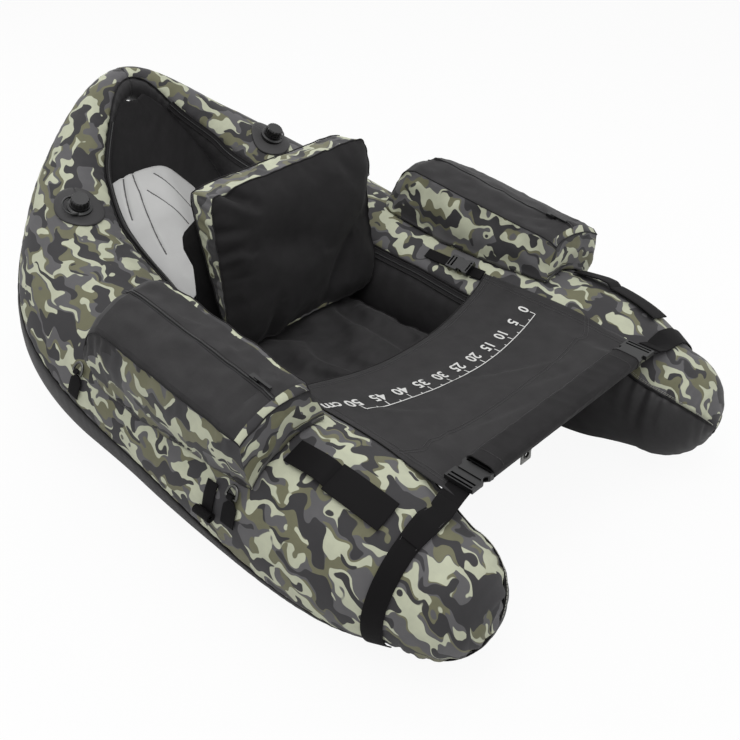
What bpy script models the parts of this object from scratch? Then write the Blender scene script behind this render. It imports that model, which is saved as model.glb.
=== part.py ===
"""Float tube: two camouflage-covered pontoons that meet in a raised bow.

Metres, +Z up.  The open end where the legs go points along -Y, the bow along +Y, and left and
right are those of the angler, who sits facing -Y: left is +X.  The origin is at the middle of
the footprint, on the ground.  Pieces of the left side are built at +X, and those of the right
side are their mirror images.
"""

import math

import bmesh
import bpy
from mathutils import Matrix, Vector

# Clearances
GAP = 0.0003            # between pieces that touch
OVERRUN = 0.004         # cutters run past what they cut
SINK = 0.009            # how deep a piece starts inside the hull before it is trimmed to it

# Hull
HULL_LENGTH = 1.496
AXLE_TRACK = 0.385      # from the centre plane to the axis of a pontoon
TUBE_RADIUS = 0.170
BOW_HEIGHT = 0.580      # ground to the axis of the bow
COVER = 0.0018
FOOT_HALF_ANGLE = 13.0  # half the flat that a pontoon rests on, in degrees
NOSE_TURNS = (1.0, 0.72, 0.45, 0.2)

# Each row is one station of a pontoon, from its tip to the bow: how far out, how far back, how
# high off the ground and how thick.
STATION_SHARES = (
    (0.975, -0.4210, 0.064, 0.695),
    (0.998, -0.2940, 0.000, 0.975),
    (0.982, -0.0020, 0.000, 0.965),
    (0.878, 0.2580, 0.079, 1.030),
    (0.569, 0.4144, 0.571, 0.535),
    (0.000, 0.4722, 0.966, 0.2450),
)
# Where the seams run round a pontoon, at even steps from its tip to the bow.
OUTER_SEAM_DEGREES = (-55.0, -24.0, -3.0, 10.0, -5.0, -20.0)
INNER_SEAM_DEGREES = (150.0, 148.0, 146.0, 140.0, 133.0, 132.0, 138.0, 142.0, 160.0, 175.0,
                      142.0)
STEPS_PER_STATION = 4
UPPER_FACES = 8
LOWER_INNER_FACES = 4
LOWER_OUTER_FACES = 2
MAX_ANGLE_STEP = 8.0    # a strap bent round a pontoon has a section at least this often
STATION_STEP = 0.01     # for slopes along a pontoon, in stations
SHARP_ANGLE = 35.0      # edges that turn more than this stay sharp, in degrees

# Seat and back
CUSHION_DRAW_SHARE = 0.025
CUSHION_CORNER_SHARE = 0.035
SEAT_FRONT_Y = -0.280
SEAT_BACK_Y = 0.150
SEAT_WIDTH = 0.372
SEAT_EDGE = 0.040
SEAT_CROWN = 0.016
SEAT_TOP_Z = 0.205
SLING_THICK = 0.0022
BACK_WIDTH = 0.456
BACK_FOOT_WIDTH = 0.412
BACK_HEIGHT = 0.386
BACK_EDGE = 0.066
BACK_CROWN = 0.010
BACK_LEAN = 9.5         # degrees from upright
BACK_FOOT_Y = 0.038     # its lower front edge
BACK_PANEL_THICK = 0.004
BACK_PANEL_SHARE = 0.90

# Rear bay
BAY_SETBACK = 0.035     # from the seat's rear edge
BAY_FRONT_Y = SEAT_BACK_Y + BAY_SETBACK
BAY_LAST_STATION = 4.84
BAY_SAG = 0.075
BAY_EDGE_ANGLE = 196.0
CLOTH = 0.0020
WALL_TOP_Z = 0.470
WALL_HALF_WIDTH = 0.215
FLAP_STATIONS = (2.60, 4.03)
FLAP_BELOW_SEAM = 15.0  # degrees
FLAP_WIDTH_SHARES = (0.20, 0.64)    # of the bay's width, at its front and at its rear
FLAP_DRAW = 0.050       # how far its rear edge comes forward, from the seam to its free side
FLAP_ARCH = 0.024
FLAP_FALL = 0.055
FLAP_FOLD = 0.006
FLAP_FOLD_COUNT = 1.7   # across its width
FLAP_SKEW_SHARE = 0.25  # of a fold, along its length

# Apron and front bar
APRON_BACK_Y = -0.193
APRON_BACK_BOW = 0.045  # how far its free edge curves forward in the middle
APRON_EDGE_Z = 0.3075
APRON_HALF_WIDTH = 0.309
APRON_SAG = 0.032
APRON_FRONT_SAG_SHARE = 0.25
APRON_THICK = 0.0022
SLEEVE_SETBACK = 0.158   # from the pontoons' tips
SLEEVE_Y = SLEEVE_SETBACK - HULL_LENGTH / 2
SLEEVE_Z = 0.306
SLEEVE_DEPTH = 0.061
SLEEVE_HEIGHT = 0.030
SLEEVE_WALL = 0.0022
SLEEVE_HALF = 0.232
BAR_RADIUS = 0.0115
BAR_WALL = 0.0015
BAR_INSET = 0.044       # from the sleeve's mouth to the end of the bar, room for the prongs
TAB_X = -0.112
TAB_WIDTH = 0.022
TAB_DROP = 0.030
TAB_THICK = 0.003
EYELET_RADIUS = 0.006
EYELET_WIRE = 0.0014

# Webbing and buckles
WEBBING = 0.0022
WIDE_WEB = 0.050
NARROW_WEB = 0.025
BUCKLE_LENGTH = 0.060
BUCKLE_THICK = 0.013
BUCKLE_WALL = 0.0022
BUCKLE_SIDE = 0.005     # how far a buckle is wider than its webbing, each side
PRONG_LENGTH_SHARE = 0.52
SOCKET_WAIST_SHARE = 0.80
SOCKET_SHOULDER_SHARES = (0.35, 0.62)
SOCKET_WINDOW_SHARES = (0.20, 0.52)
GUIDE_SHARE = 0.80
# Each row is a corner of a prong: how far along it, and how many walls in from its side.
FORK_SHARES = ((0.00, 2.4), (0.60, 2.0), (1.00, 2.4), (1.00, 1.2), (0.79, 0.0), (0.55, 1.0),
               (0.00, 1.0))
BUCKLE_SEAT = 0.012     # how far a strap lies under its buckle
FRONT_STRAP_LANDING = 103.0
FRONT_STRAP_TOP = 88.0
FRONT_STRAP_END = -46.0
APRON_STRAP_BACK_Y = -0.020
APRON_STRAP_CLEAR = 0.0015
APRON_STRAP_ANGLE = 119.0
APRON_BUCKLE_Y = -0.128

# Pockets
POCKET_FRONT_Y = -0.330
POCKET_REAR_Y = 0.158
# Each row is a section of a pocket: how far along it, how wide and how high.
POCKET_SHARES = (
    (0.00, 0.97, 0.98),
    (0.08, 1.00, 1.04),
    (0.84, 1.00, 1.28),
    (0.93, 0.97, 1.15),
    (1.00, 0.82, 0.80),
)
POCKET_WALL = 0.0030
POCKET_OUTER_X = 0.551
POCKET_INNER_X = 0.342
POCKET_FOOT_OUTER_X = 0.512
POCKET_FOOT_INNER_X = 0.334
POCKET_FOOT_Z = 0.235
POCKET_OUTER_Z = 0.380
POCKET_INNER_Z = 0.411
POCKET_CROWN = 0.020
MOUTH_EDGE_SHARE = 0.55     # of the crown, at the mouth's outer edge
INNER_EDGE_SHARE = 0.33
# Which way each corner of a pocket's section moves for its inside: foot, outer wall, top, inner.
INSET_SHARES = ((1, 0), (-1, 0), (-1, -1), (-0.5, -1), (0, -1), (0.5, -1), (1, -1))
MOUTH_FRONT_Y = -0.278
MOUTH_REAR_Y = 0.080
MOUTH_INNER_X = 0.448
MOUTH_OUTER_X = 0.536
LID_END_GAP = 0.0012    # its axis slopes with the pocket's top, so its ends need more room
SLIDER_LENGTH = 0.020
SLIDER_WIDTH = 0.011
SLIDER_HEIGHT = 0.006
PULL_LENGTH = 0.030
PULL_WIDTH = 0.006
PULL_THICK = 0.0016

# Valves
VALVE_Y = 0.567
VALVE_ANGLE = 100.0
PATCH_RADIUS = 0.056
PATCH_RISE = 0.0045
VALVE_RADIUS = 0.029
VALVE_HEIGHT = 0.012
CAP_RADIUS = 0.021
CAP_HEIGHT = 0.016
CAP_KNURLS = 18
KNURL_DEPTH = 0.0012
STEM_RADIUS = 0.012
FLANGE_SHARES = (0.35, 0.50)    # of the valve's height: flange and shoulder
SHOULDER_SHARE = 0.82           # of the valve's radius
CAP_SHARES = ((1.0, 0.0), (1.0, 0.8), (0.9, 1.0), (0.3, 1.0))
DISC_SHARES = (0.02, 0.50, 1.00)    # where a round patch has a ring of points

# D-rings, handles, rod straps
RING_SPAN = 0.026
RING_DEPTH = 0.022
RING_WIRE = 0.0023
RING_SLEEVE_RADIUS = 0.0052
RING_SLEEVE_HALF = 0.007
RING_STANDOFF = 0.003
RING_BOW_POWER = 0.8    # a D has flatter sides than a half circle
ANCHOR_LENGTH = 0.055
ANCHOR_WIDTH = 0.034
FRONT_RING_Y = -0.298
FRONT_RING_ANGLE = 29.0
REAR_RING_Y = 0.185
REAR_RING_ANGLE = 29.0
HANDLE_Y = -0.243
HANDLE_TOP_ANGLE = 30.0
HANDLE_WIDTH = 0.028
HANDLE_DROP = 0.060
HANDLE_ROLL_RADIUS = 0.010
HANDLE_ROLL_LENGTH = 0.042
ROLL_END_SHARE = 0.85
ROD_PATCH_SETBACK = 0.045   # from the middle of the front strap
ROD_PATCH_LENGTH = 0.105
ROD_STRAP_LENGTH = 0.088
ROD_PATCH_FRONT_Y = SLEEVE_Y + ROD_PATCH_SETBACK
ROD_PATCH_BACK_Y = ROD_PATCH_FRONT_Y + ROD_PATCH_LENGTH
ROD_STRAP_BACK_Y = ROD_PATCH_BACK_Y + ROD_STRAP_LENGTH
ROD_STRAP_ANGLE = 71.0
ROD_STRAP_WIDTH = 0.040

# Bladder zips
ZIP_FRONT_Y = -0.185
ZIP_LAST_STATION = 4.55
ZIP_WIDTH = 0.022
ZIP_BELOW_SEAM = 5.5    # degrees
ZIP_SECTIONS = 22

LEFT = 1
RIGHT = -1
SIDES = ((LEFT, "left"), (RIGHT, "right"))

FINISHES = {
    "camouflage_polyester": ("#7E8068", 0.80, 0.0),
    "black_polyester": ("#1E1D1E", 0.82, 0.0),
    "black_pvc": ("#2A292A", 0.55, 0.0),
    "grey_coated_cloth": ("#C2C2C0", 0.70, 0.0),
    "bladder_film": ("#3C4046", 0.35, 0.0),
    "black_webbing": ("#161616", 0.78, 0.0),
    "black_acetal": ("#0F0F10", 0.38, 0.0),
    "grey_webbing": ("#8A8A88", 0.75, 0.0),
    "anodised_aluminium": ("#9A9C9E", 0.32, 1.0),
    "nickel_plate": ("#A9A9A6", 0.28, 1.0),
}


# Scene helpers

def clear_scene():
    for item in list(bpy.data.objects):
        bpy.data.objects.remove(item, do_unlink=True)


def finish(name):
    material = bpy.data.materials.get(name)
    if material is None:
        colour, roughness, metallic = FINISHES[name]
        material = bpy.data.materials.new(name)
        material.use_nodes = True
        shader = material.node_tree.nodes["Principled BSDF"]
        channels = [int(colour[i:i + 2], 16) / 255 for i in (1, 3, 5)]
        shader.inputs["Base Color"].default_value = [c ** 2.2 for c in channels] + [1.0]
        shader.inputs["Roughness"].default_value = roughness
        shader.inputs["Metallic"].default_value = metallic
    return material


class Shape:
    """Points and the faces between them, before they become an object."""

    def __init__(self, points=(), faces=()):
        self.points = [Vector(p) for p in points]
        self.faces = [tuple(f) for f in faces]

    def add(self, other):
        base = len(self.points)
        self.points += other.points
        self.faces += [tuple(i + base for i in f) for f in other.faces]
        return self

    def placed(self, matrix):
        return Shape([matrix @ p for p in self.points], self.faces)


def make_object(name, shape, side=LEFT, pivot=None):
    """The shape as an object, mirrored to its side, with its origin on the pivot."""
    pivot = Vector((0, 0, 0)) if pivot is None else Vector(pivot)
    pivot = Vector((pivot.x * side, pivot.y, pivot.z))
    mesh = bpy.data.meshes.new(name)
    points = [Vector((p.x * side, p.y, p.z)) - pivot for p in shape.points]
    mesh.from_pydata(points, [], shape.faces)
    work = bmesh.new()
    work.from_mesh(mesh)
    bmesh.ops.remove_doubles(work, verts=work.verts, dist=GAP / 10)
    bmesh.ops.recalc_face_normals(work, faces=work.faces)
    work.to_mesh(mesh)
    work.free()
    item = bpy.data.objects.new(name, mesh)
    item.location = pivot
    bpy.context.scene.collection.objects.link(item)
    return item


def make_part(name, shape, material, side=LEFT, pivot=None):
    item = make_object(name, shape, side, pivot)
    item.data.materials.append(finish(material))
    item.data.shade_smooth()
    item.data.set_sharp_from_angle(angle=math.radians(SHARP_ANGLE))
    return item


def make_cutter(name, shape, side=LEFT):
    item = make_object(name, shape, side)
    item.hide_render = True
    item.display_type = "WIRE"
    return item


def combine(item, other, operation):
    boolean = item.modifiers.new(operation.lower(), "BOOLEAN")
    boolean.operation = operation
    boolean.solver = "EXACT"
    boolean.object = other
    return item


def cut(item, *cutters):
    for cutter in cutters:
        combine(item, cutter, "DIFFERENCE")
    return item


# Shapes

def grid_faces(rows, columns, start=0, flip=False):
    """Triangles over a grid.  Every layer of the hull has the same diagonals, so they nest."""
    faces = []
    for i in range(rows - 1):
        for j in range(columns - 1):
            a = start + i * columns + j
            for face in ((a, a + 1, a + columns + 1), (a, a + columns + 1, a + columns)):
                faces.append(face[::-1] if flip else face)
    return faces


def slab(front, back):
    """A closed solid between two grids of points with the same rows and columns."""
    rows, columns = len(front), len(front[0])
    size = rows * columns
    points = [p for row in front for p in row] + [p for row in back for p in row]
    faces = grid_faces(rows, columns) + grid_faces(rows, columns, size, True)
    ring = [j for j in range(columns)]
    ring += [i * columns + columns - 1 for i in range(1, rows)]
    ring += [(rows - 1) * columns + j for j in range(columns - 2, -1, -1)]
    ring += [i * columns for i in range(rows - 2, 0, -1)]
    for a, b in zip(ring, ring[1:] + ring[:1]):
        faces.append((b, a, a + size, b + size))
    return Shape(points, faces)


def loft(rings):
    """A closed solid through rings of points, with a flat face at each end."""
    count = len(rings[0])
    points = [p for ring in rings for p in ring]
    faces = [tuple(range(count))[::-1]]
    faces.append(tuple(range((len(rings) - 1) * count, len(rings) * count)))
    for i in range(len(rings) - 1):
        for j in range(count):
            a, b = i * count + j, i * count + (j + 1) % count
            faces += [(a, b, b + count), (a, b + count, a + count)]
    return Shape(points, faces)


def turned(profile, sides, ripple=0.0):
    """A solid turned about Z from (radius, height) pairs; ripple draws in every other side."""
    rings = []
    for radius, height in profile:
        ring = []
        for k in range(sides):
            reach = radius - (ripple if k % 2 and radius > ripple * 4 else 0.0)
            angle = 2 * math.pi * k / sides
            ring.append(Vector((reach * math.cos(angle), reach * math.sin(angle), height)))
        rings.append(ring)
    return loft(rings)


def prism(outline, low, high):
    """An outline in X and Y, extruded from low to high along Z."""
    return loft([[Vector((x, y, z)) for x, y in outline] for z in (low, high)])


def box(x_range, y_range, z_range):
    (x0, x1), (y0, y1), (z0, z1) = x_range, y_range, z_range
    return prism(((x0, y0), (x1, y0), (x1, y1), (x0, y1)), z0, z1)


def surface_normals(rows):
    """The unit normal at each point of a grid."""
    normals = []
    for i, row in enumerate(rows):
        line = []
        for j in range(len(row)):
            along = rows[min(i + 1, len(rows) - 1)][j] - rows[max(i - 1, 0)][j]
            across = row[min(j + 1, len(row) - 1)] - row[max(j - 1, 0)]
            line.append(across.cross(along).normalized())
        normals.append(line)
    return normals


def sheet(rows, thickness):
    """Cloth of one thickness through a grid of points."""
    normals = surface_normals(rows)
    half = thickness / 2
    front = [[p + n * half for p, n in zip(*pair)] for pair in zip(rows, normals)]
    back = [[p - n * half for p, n in zip(*pair)] for pair in zip(rows, normals)]
    return slab(front, back)


def cushion(width, length, edge, crown, foot_width, columns=10, rows=10):
    """A stuffed pad about the origin: crowned faces, and sides drawn in between its corners."""
    front, back = [], []
    for i in range(rows + 1):
        v = 2 * i / rows - 1
        top_row, low_row = [], []
        for j in range(columns + 1):
            u = 2 * j / columns - 1
            corner = 1 - CUSHION_CORNER_SHARE * (u * v) ** 4
            half = (foot_width + (width - foot_width) * i / rows) / 2
            x = half * u * (corner - CUSHION_DRAW_SHARE * (1 - v * v))
            y = length / 2 * v * (corner - CUSHION_DRAW_SHARE * (1 - u * u))
            z = edge / 2 + crown * (1 - u ** 4) * (1 - v ** 4)
            top_row.append(Vector((x, y, z)))
            low_row.append(Vector((x, y, -z)))
        front.append(top_row)
        back.append(low_row)
    return slab(front, back)


# The hull as a surface

def blend_rows(table, place):
    """A smooth curve through the rows of a table, read at a station number."""
    last = len(table) - 1
    index = min(max(int(math.floor(place)), 0), last - 1)
    t = place - index
    before = table[index - 1] if index else [2 * a - b for a, b in zip(table[0], table[1])]
    if index + 2 <= last:
        after = table[index + 2]
    else:
        after = [-table[last - 1][0]] + list(table[last - 1][1:])
    values = []
    for a, b, c, d in zip(before, table[index], table[index + 1], after):
        values.append(0.5 * (2 * b + (c - a) * t + (2 * a - 5 * b + 4 * c - d) * t * t
                             + (3 * b - a - 3 * c + d) * t ** 3))
    return values


def axis_point(place):
    out, along, lift, thick = blend_rows(STATION_SHARES, place)
    radius = thick * TUBE_RADIUS
    height = lift * BOW_HEIGHT + radius * math.cos(math.radians(FOOT_HALF_ANGLE))
    return Vector((out * AXLE_TRACK, along * HULL_LENGTH, height)), radius


def section(place):
    """Centre, radius and the outward, upward and lengthwise directions of a pontoon."""
    last = len(STATION_SHARES) - 1
    centre, radius = axis_point(max(place, 0.0))
    ahead, _ = axis_point(min(max(place, 0.0) + STATION_STEP, last))
    behind, _ = axis_point(max(min(place, last) - STATION_STEP, 0.0))
    along = (ahead - behind).normalized()
    if place >= last:
        along = Vector((-1, 0, 0))
    outward = along.cross(Vector((0, 0, 1))).normalized()
    upward = outward.cross(along).normalized()
    return centre, radius, outward, upward, along


def station_angle(degrees, place):
    """A seam's angle at a station number."""
    last = len(degrees) - 1
    place = place * last / (len(STATION_SHARES) - 1)
    index = min(max(int(place), 0), last - 1)
    t = min(max(place - index, 0.0), 1.0)
    return degrees[index] + (degrees[index + 1] - degrees[index]) * t


def skin(place, angle, rise=0.0):
    """A point of the left pontoon: angle 0 is outward, 90 up and 180 inward."""
    centre, radius, outward, upward, along = section(place)
    reach = radius + rise
    if place < 0:
        turn = math.radians(90 * -place)
        centre = centre - along * reach * math.sin(turn)
        reach = reach * math.cos(turn)
    turn = math.radians(angle)
    point = centre + (outward * math.cos(turn) + upward * math.sin(turn)) * reach
    point.z = max(point.z, -rise)
    point.x = max(point.x, GAP / 2)
    return point


def skin_slope(place, angle):
    """How far the skin runs for one station, as a vector."""
    last = len(STATION_SHARES) - 1
    ahead, behind = min(place + STATION_STEP, last), max(place - STATION_STEP, 0.0)
    return (skin(ahead, angle) - skin(behind, angle)) / (ahead - behind)


def skin_normal(place, angle):
    around = skin(place, angle + 1) - skin(place, angle - 1)
    return skin_slope(place, angle).cross(around).normalized()


def near_skin(place, angle, along, across, rise):
    """The point of the skin this far along and across from a place, lifted off by rise."""
    radius = section(place)[1]
    place = place + along / skin_slope(place, angle).length
    angle = angle + math.degrees(across / radius)
    return skin(place, angle) + skin_normal(place, angle) * rise


def place_at(y):
    """The station number where the axis of a pontoon has this y."""
    low, high = 0.0, float(len(STATION_SHARES) - 1)
    for _ in range(30):
        middle = (low + high) / 2
        if axis_point(middle)[0].y < y:
            low = middle
        else:
            high = middle
    return (low + high) / 2


def hull_places():
    stations = len(STATION_SHARES) - 1
    body = [k / STEPS_PER_STATION for k in range(stations * STEPS_PER_STATION + 1)]
    return [-turn for turn in NOSE_TURNS] + body


def upper_angles(place):
    start = station_angle(OUTER_SEAM_DEGREES, place)
    end = station_angle(INNER_SEAM_DEGREES, place)
    return [start + (end - start) * k / UPPER_FACES for k in range(UPPER_FACES + 1)]


def lower_angles(place):
    start = station_angle(INNER_SEAM_DEGREES, place)
    end = 360 + station_angle(OUTER_SEAM_DEGREES, place)
    foot_in, foot_out = 270 - FOOT_HALF_ANGLE, 270 + FOOT_HALF_ANGLE
    angles = [start + (foot_in - start) * k / LOWER_INNER_FACES
              for k in range(LOWER_INNER_FACES + 1)]
    angles += [foot_out + (end - foot_out) * k / LOWER_OUTER_FACES
               for k in range(LOWER_OUTER_FACES + 1)]
    return angles


def cover_shape(angles_at):
    """Half of a pontoon's cover, from seam to seam."""
    grids = []
    for rise in (0.0, -COVER):
        rows = []
        for place in hull_places():
            angles = angles_at(place)
            _, radius, outward, upward, _ = section(place)
            turn = math.radians((angles[0] + angles[-1]) / 2)
            middle = outward * math.cos(turn) + upward * math.sin(turn)
            if place <= -1:
                rows.append([skin(place, 0, rise) + middle * GAP] * len(angles))
                continue
            ring = radius * math.cos(math.radians(90 * max(-place, 0)))
            inset = math.degrees(GAP / 2 / ring)
            angles[0] += inset
            angles[-1] -= inset
            rows.append([skin(place, angle, rise) for angle in angles])
        grids.append(rows)
    return slab(*grids)


def pontoon_shape(rise):
    """A whole pontoon, larger or smaller than its cover by rise."""
    rings = []
    for place in hull_places():
        angles = upper_angles(place)[:-1] + lower_angles(place)[:-1]
        rings.append([skin(place, angle, rise) for angle in angles])
    return loft(rings)


def strap_rows(stops, width):
    """Centres, crosswise directions and normals of a strap laid on the left pontoon.

    Each stop is a station number and an angle."""
    centres = [skin(place, angle) for place, angle in stops]
    rows = []
    for k, (place, angle) in enumerate(stops):
        along = centres[min(k + 1, len(stops) - 1)] - centres[max(k - 1, 0)]
        normal = skin_normal(place, angle)
        across = normal.cross(along).normalized()
        rows.append((centres[k], across * (width / 2), normal))
    return rows


def ribbon(rows, top, bottoms):
    """A flat band through rows of centre, half-width vector and normal."""
    rings = []
    for (centre, half, normal), bottom in zip(rows, bottoms):
        rings.append([
            centre - half + normal * top, centre + normal * top, centre + half + normal * top,
            centre + half - normal * bottom, centre - half - normal * bottom])
    return loft(rings)


def stops_between(first, last, count):
    return [tuple(a + (b - a) * k / count for a, b in zip(first, last))
            for k in range(count + 1)]


def strap_on_hull(stops, width, rise):
    rows = strap_rows(stops, width)
    return ribbon(rows, rise, [SINK] * len(rows))


def hull_frame(place, angle, rise, heading=None):
    """A frame on the skin: Z along the normal, X along the pontoon or along the heading."""
    normal = skin_normal(place, angle)
    x_axis = (skin_slope(place, angle) if heading is None else heading).normalized()
    x_axis = (x_axis - normal * x_axis.dot(normal)).normalized()
    y_axis = normal.cross(x_axis)
    frame = Matrix((x_axis, y_axis, normal)).transposed().to_4x4()
    frame.translation = skin(place, angle) + normal * rise
    return frame


# Pieces

def make_hull(envelopes):
    for side, word in SIDES:
        make_part("upper_cover_" + word, cover_shape(upper_angles), "camouflage_polyester", side)
        make_part("lower_cover_" + word, cover_shape(lower_angles), "black_pvc", side)
        make_part("bladder_" + word, pontoon_shape(-COVER - GAP), "bladder_film", side)
        first = place_at(ZIP_FRONT_Y)
        stops = []
        for k in range(ZIP_SECTIONS + 1):
            place = first + (ZIP_LAST_STATION - first) * k / ZIP_SECTIONS
            stops.append((place, station_angle(INNER_SEAM_DEGREES, place) + ZIP_BELOW_SEAM))
        zip_strip = make_part("bladder_zip_" + word, strap_on_hull(stops, ZIP_WIDTH, WEBBING),
                              "black_webbing", side)
        cut(zip_strip, envelopes[side])


def make_seat(envelopes):
    middle_y = (SEAT_FRONT_Y + SEAT_BACK_Y) / 2
    length = SEAT_BACK_Y - SEAT_FRONT_Y
    full = SEAT_EDGE + 2 * SEAT_CROWN
    middle_z = SEAT_TOP_Z - full / 2
    shape = cushion(SEAT_WIDTH, length, SEAT_EDGE, SEAT_CROWN, SEAT_WIDTH)
    make_part("seat_cushion", shape.placed(Matrix.Translation((0, middle_y, middle_z))),
              "black_polyester")

    # The sling is stretched between the pontoons, just under the cushion's crown.
    high_z = middle_z - full / 2 - GAP
    reach = AXLE_TRACK - TUBE_RADIUS + 2 * SINK
    sling = make_part("seat_sling", box((-reach, reach), (SEAT_FRONT_Y, SEAT_BACK_Y),
                                        (high_z - SLING_THICK, high_z)), "black_polyester")
    cut(sling, envelopes[LEFT], envelopes[RIGHT])


def seat_top(y):
    """Height of the seat cushion along its middle."""
    v = (2 * y - SEAT_FRONT_Y - SEAT_BACK_Y) / (SEAT_BACK_Y - SEAT_FRONT_Y)
    return SEAT_TOP_Z - SEAT_CROWN * v ** 4


def make_backrest():
    """The back pad stands on the seat's rear edge and folds forward on its lower front edge."""
    lean = math.radians(BACK_LEAN)
    full = BACK_EDGE + 2 * BACK_CROWN
    drawn = BACK_HEIGHT / 2 * CUSHION_DRAW_SHARE
    pivot = Vector((0, BACK_FOOT_Y, seat_top(BACK_FOOT_Y + BACK_EDGE) + 2 * GAP - drawn
                    + BACK_EDGE * math.sin(lean)))
    frame = Matrix.Translation(pivot) @ Matrix.Rotation(math.pi / 2 - lean, 4, "X")
    frame = frame @ Matrix.Translation((0, BACK_HEIGHT / 2, -BACK_EDGE / 2))
    pad = cushion(BACK_WIDTH, BACK_HEIGHT, BACK_EDGE, BACK_CROWN, BACK_FOOT_WIDTH)
    make_part("backrest_cushion", pad.placed(frame), "black_polyester", pivot=pivot)
    width = BACK_FOOT_WIDTH * BACK_PANEL_SHARE
    height = BACK_HEIGHT * BACK_PANEL_SHARE
    panel_z = -full / 2 - GAP - BACK_PANEL_THICK
    panel = box((-width / 2, width / 2), (-height / 2, height / 2),
                (panel_z, panel_z + BACK_PANEL_THICK))
    make_part("backrest_rear_panel", panel.placed(frame), "black_polyester", pivot=pivot)


def make_bay(envelopes):
    rows, columns = 11, 8
    first = place_at(BAY_FRONT_Y)
    grid = []
    for i in range(rows + 1):
        edge = skin(first + (BAY_LAST_STATION - first) * i / rows, BAY_EDGE_ANGLE, -SINK)
        line = []
        for j in range(columns + 1):
            u = 2 * j / columns - 1
            fall = BAY_SAG * (1 - u * u) * (edge.x / (AXLE_TRACK - TUBE_RADIUS))
            line.append(Vector((edge.x * u, edge.y, edge.z - fall)))
        grid.append(line)
    lining = make_part("bay_lining", sheet(grid, CLOTH), "black_polyester")
    cut(lining, envelopes[LEFT], envelopes[RIGHT])

    # The bay's front wall stands upright along the lining's front edge.
    rows, front = 4, grid[0]
    wall_y = front[0].y - CLOTH / 2 - 2 * GAP
    grid = []
    for i in range(rows + 1):
        v = i / rows
        line = []
        for j, foot in enumerate(front):
            x = foot.x + (WALL_HALF_WIDTH * (2 * j / columns - 1) - foot.x) * v
            line.append(Vector((x, wall_y, foot.z + (WALL_TOP_Z - foot.z) * v)))
        grid.append(line)
    wall = make_part("bay_front_wall", sheet(grid, CLOTH), "black_polyester")
    cut(wall, envelopes[LEFT], envelopes[RIGHT])

    # The storage cover is folded back along the right pontoon, its coated side up.
    rows, columns = 8, 12
    grid = []
    for i in range(rows + 1):
        v = i / rows
        place = FLAP_STATIONS[0] + (FLAP_STATIONS[1] - FLAP_STATIONS[0]) * v
        seam = skin(place, station_angle(INNER_SEAM_DEGREES, place) + FLAP_BELOW_SEAM, -SINK)
        share = FLAP_WIDTH_SHARES[0] + (FLAP_WIDTH_SHARES[1] - FLAP_WIDTH_SHARES[0]) * v
        width = 2 * seam.x * share
        line = []
        for j in range(columns + 1):
            u = j / columns
            turn = 2 * math.pi * (FLAP_FOLD_COUNT * u + FLAP_SKEW_SHARE * v)
            fold = FLAP_FOLD * math.sin(turn) * u * (1 + v)
            rise = FLAP_ARCH * math.sin(math.pi * u) - FLAP_FALL * u ** 4 * v + fold
            line.append(seam + Vector((-(width + SINK) * u, -FLAP_DRAW * u * v, rise)))
        grid.append(line)
    flap = make_part("storage_flap", sheet(grid, CLOTH), "grey_coated_cloth", RIGHT)
    cut(flap, envelopes[RIGHT], envelopes[LEFT])


def apron_z(u, v):
    """Height of the apron: u runs across it from -1 to 1, v from its free edge to the bar."""
    return APRON_EDGE_Z - APRON_SAG * (1 - u * u) * (1 - (1 - APRON_FRONT_SAG_SHARE) * v * v)


def apron_y(u, v):
    back = APRON_BACK_Y - APRON_BACK_BOW * (1 - u * u)
    front = SLEEVE_Y + SLEEVE_DEPTH / 2 + GAP
    return back + (front - back) * v


def make_apron(envelopes):
    rows, columns = 6, 12
    grid = []
    for i in range(rows + 1):
        v = i / rows
        line = []
        for j in range(columns + 1):
            u = 2 * j / columns - 1
            line.append(Vector((APRON_HALF_WIDTH * u, apron_y(u, v), apron_z(u, v))))
        grid.append(line)
    apron = make_part("apron", sheet(grid, APRON_THICK), "black_polyester")
    cut(apron, envelopes[LEFT], envelopes[RIGHT])


def flat_oval(depth, height, count=16):
    """A rounded outline in Y and Z, wide and low."""
    points = []
    radius = height / 2
    for k in range(count):
        turn = 2 * math.pi * (k + 0.5) / count
        y = radius * math.cos(turn) + math.copysign(depth / 2 - radius, math.cos(turn))
        points.append((y, radius * math.sin(turn)))
    return points


def tube_along_x(outline, x0, x1, centre):
    return loft([[Vector((x, centre[0] + y, centre[1] + z)) for y, z in outline]
                 for x in (x0, x1)])


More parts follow.
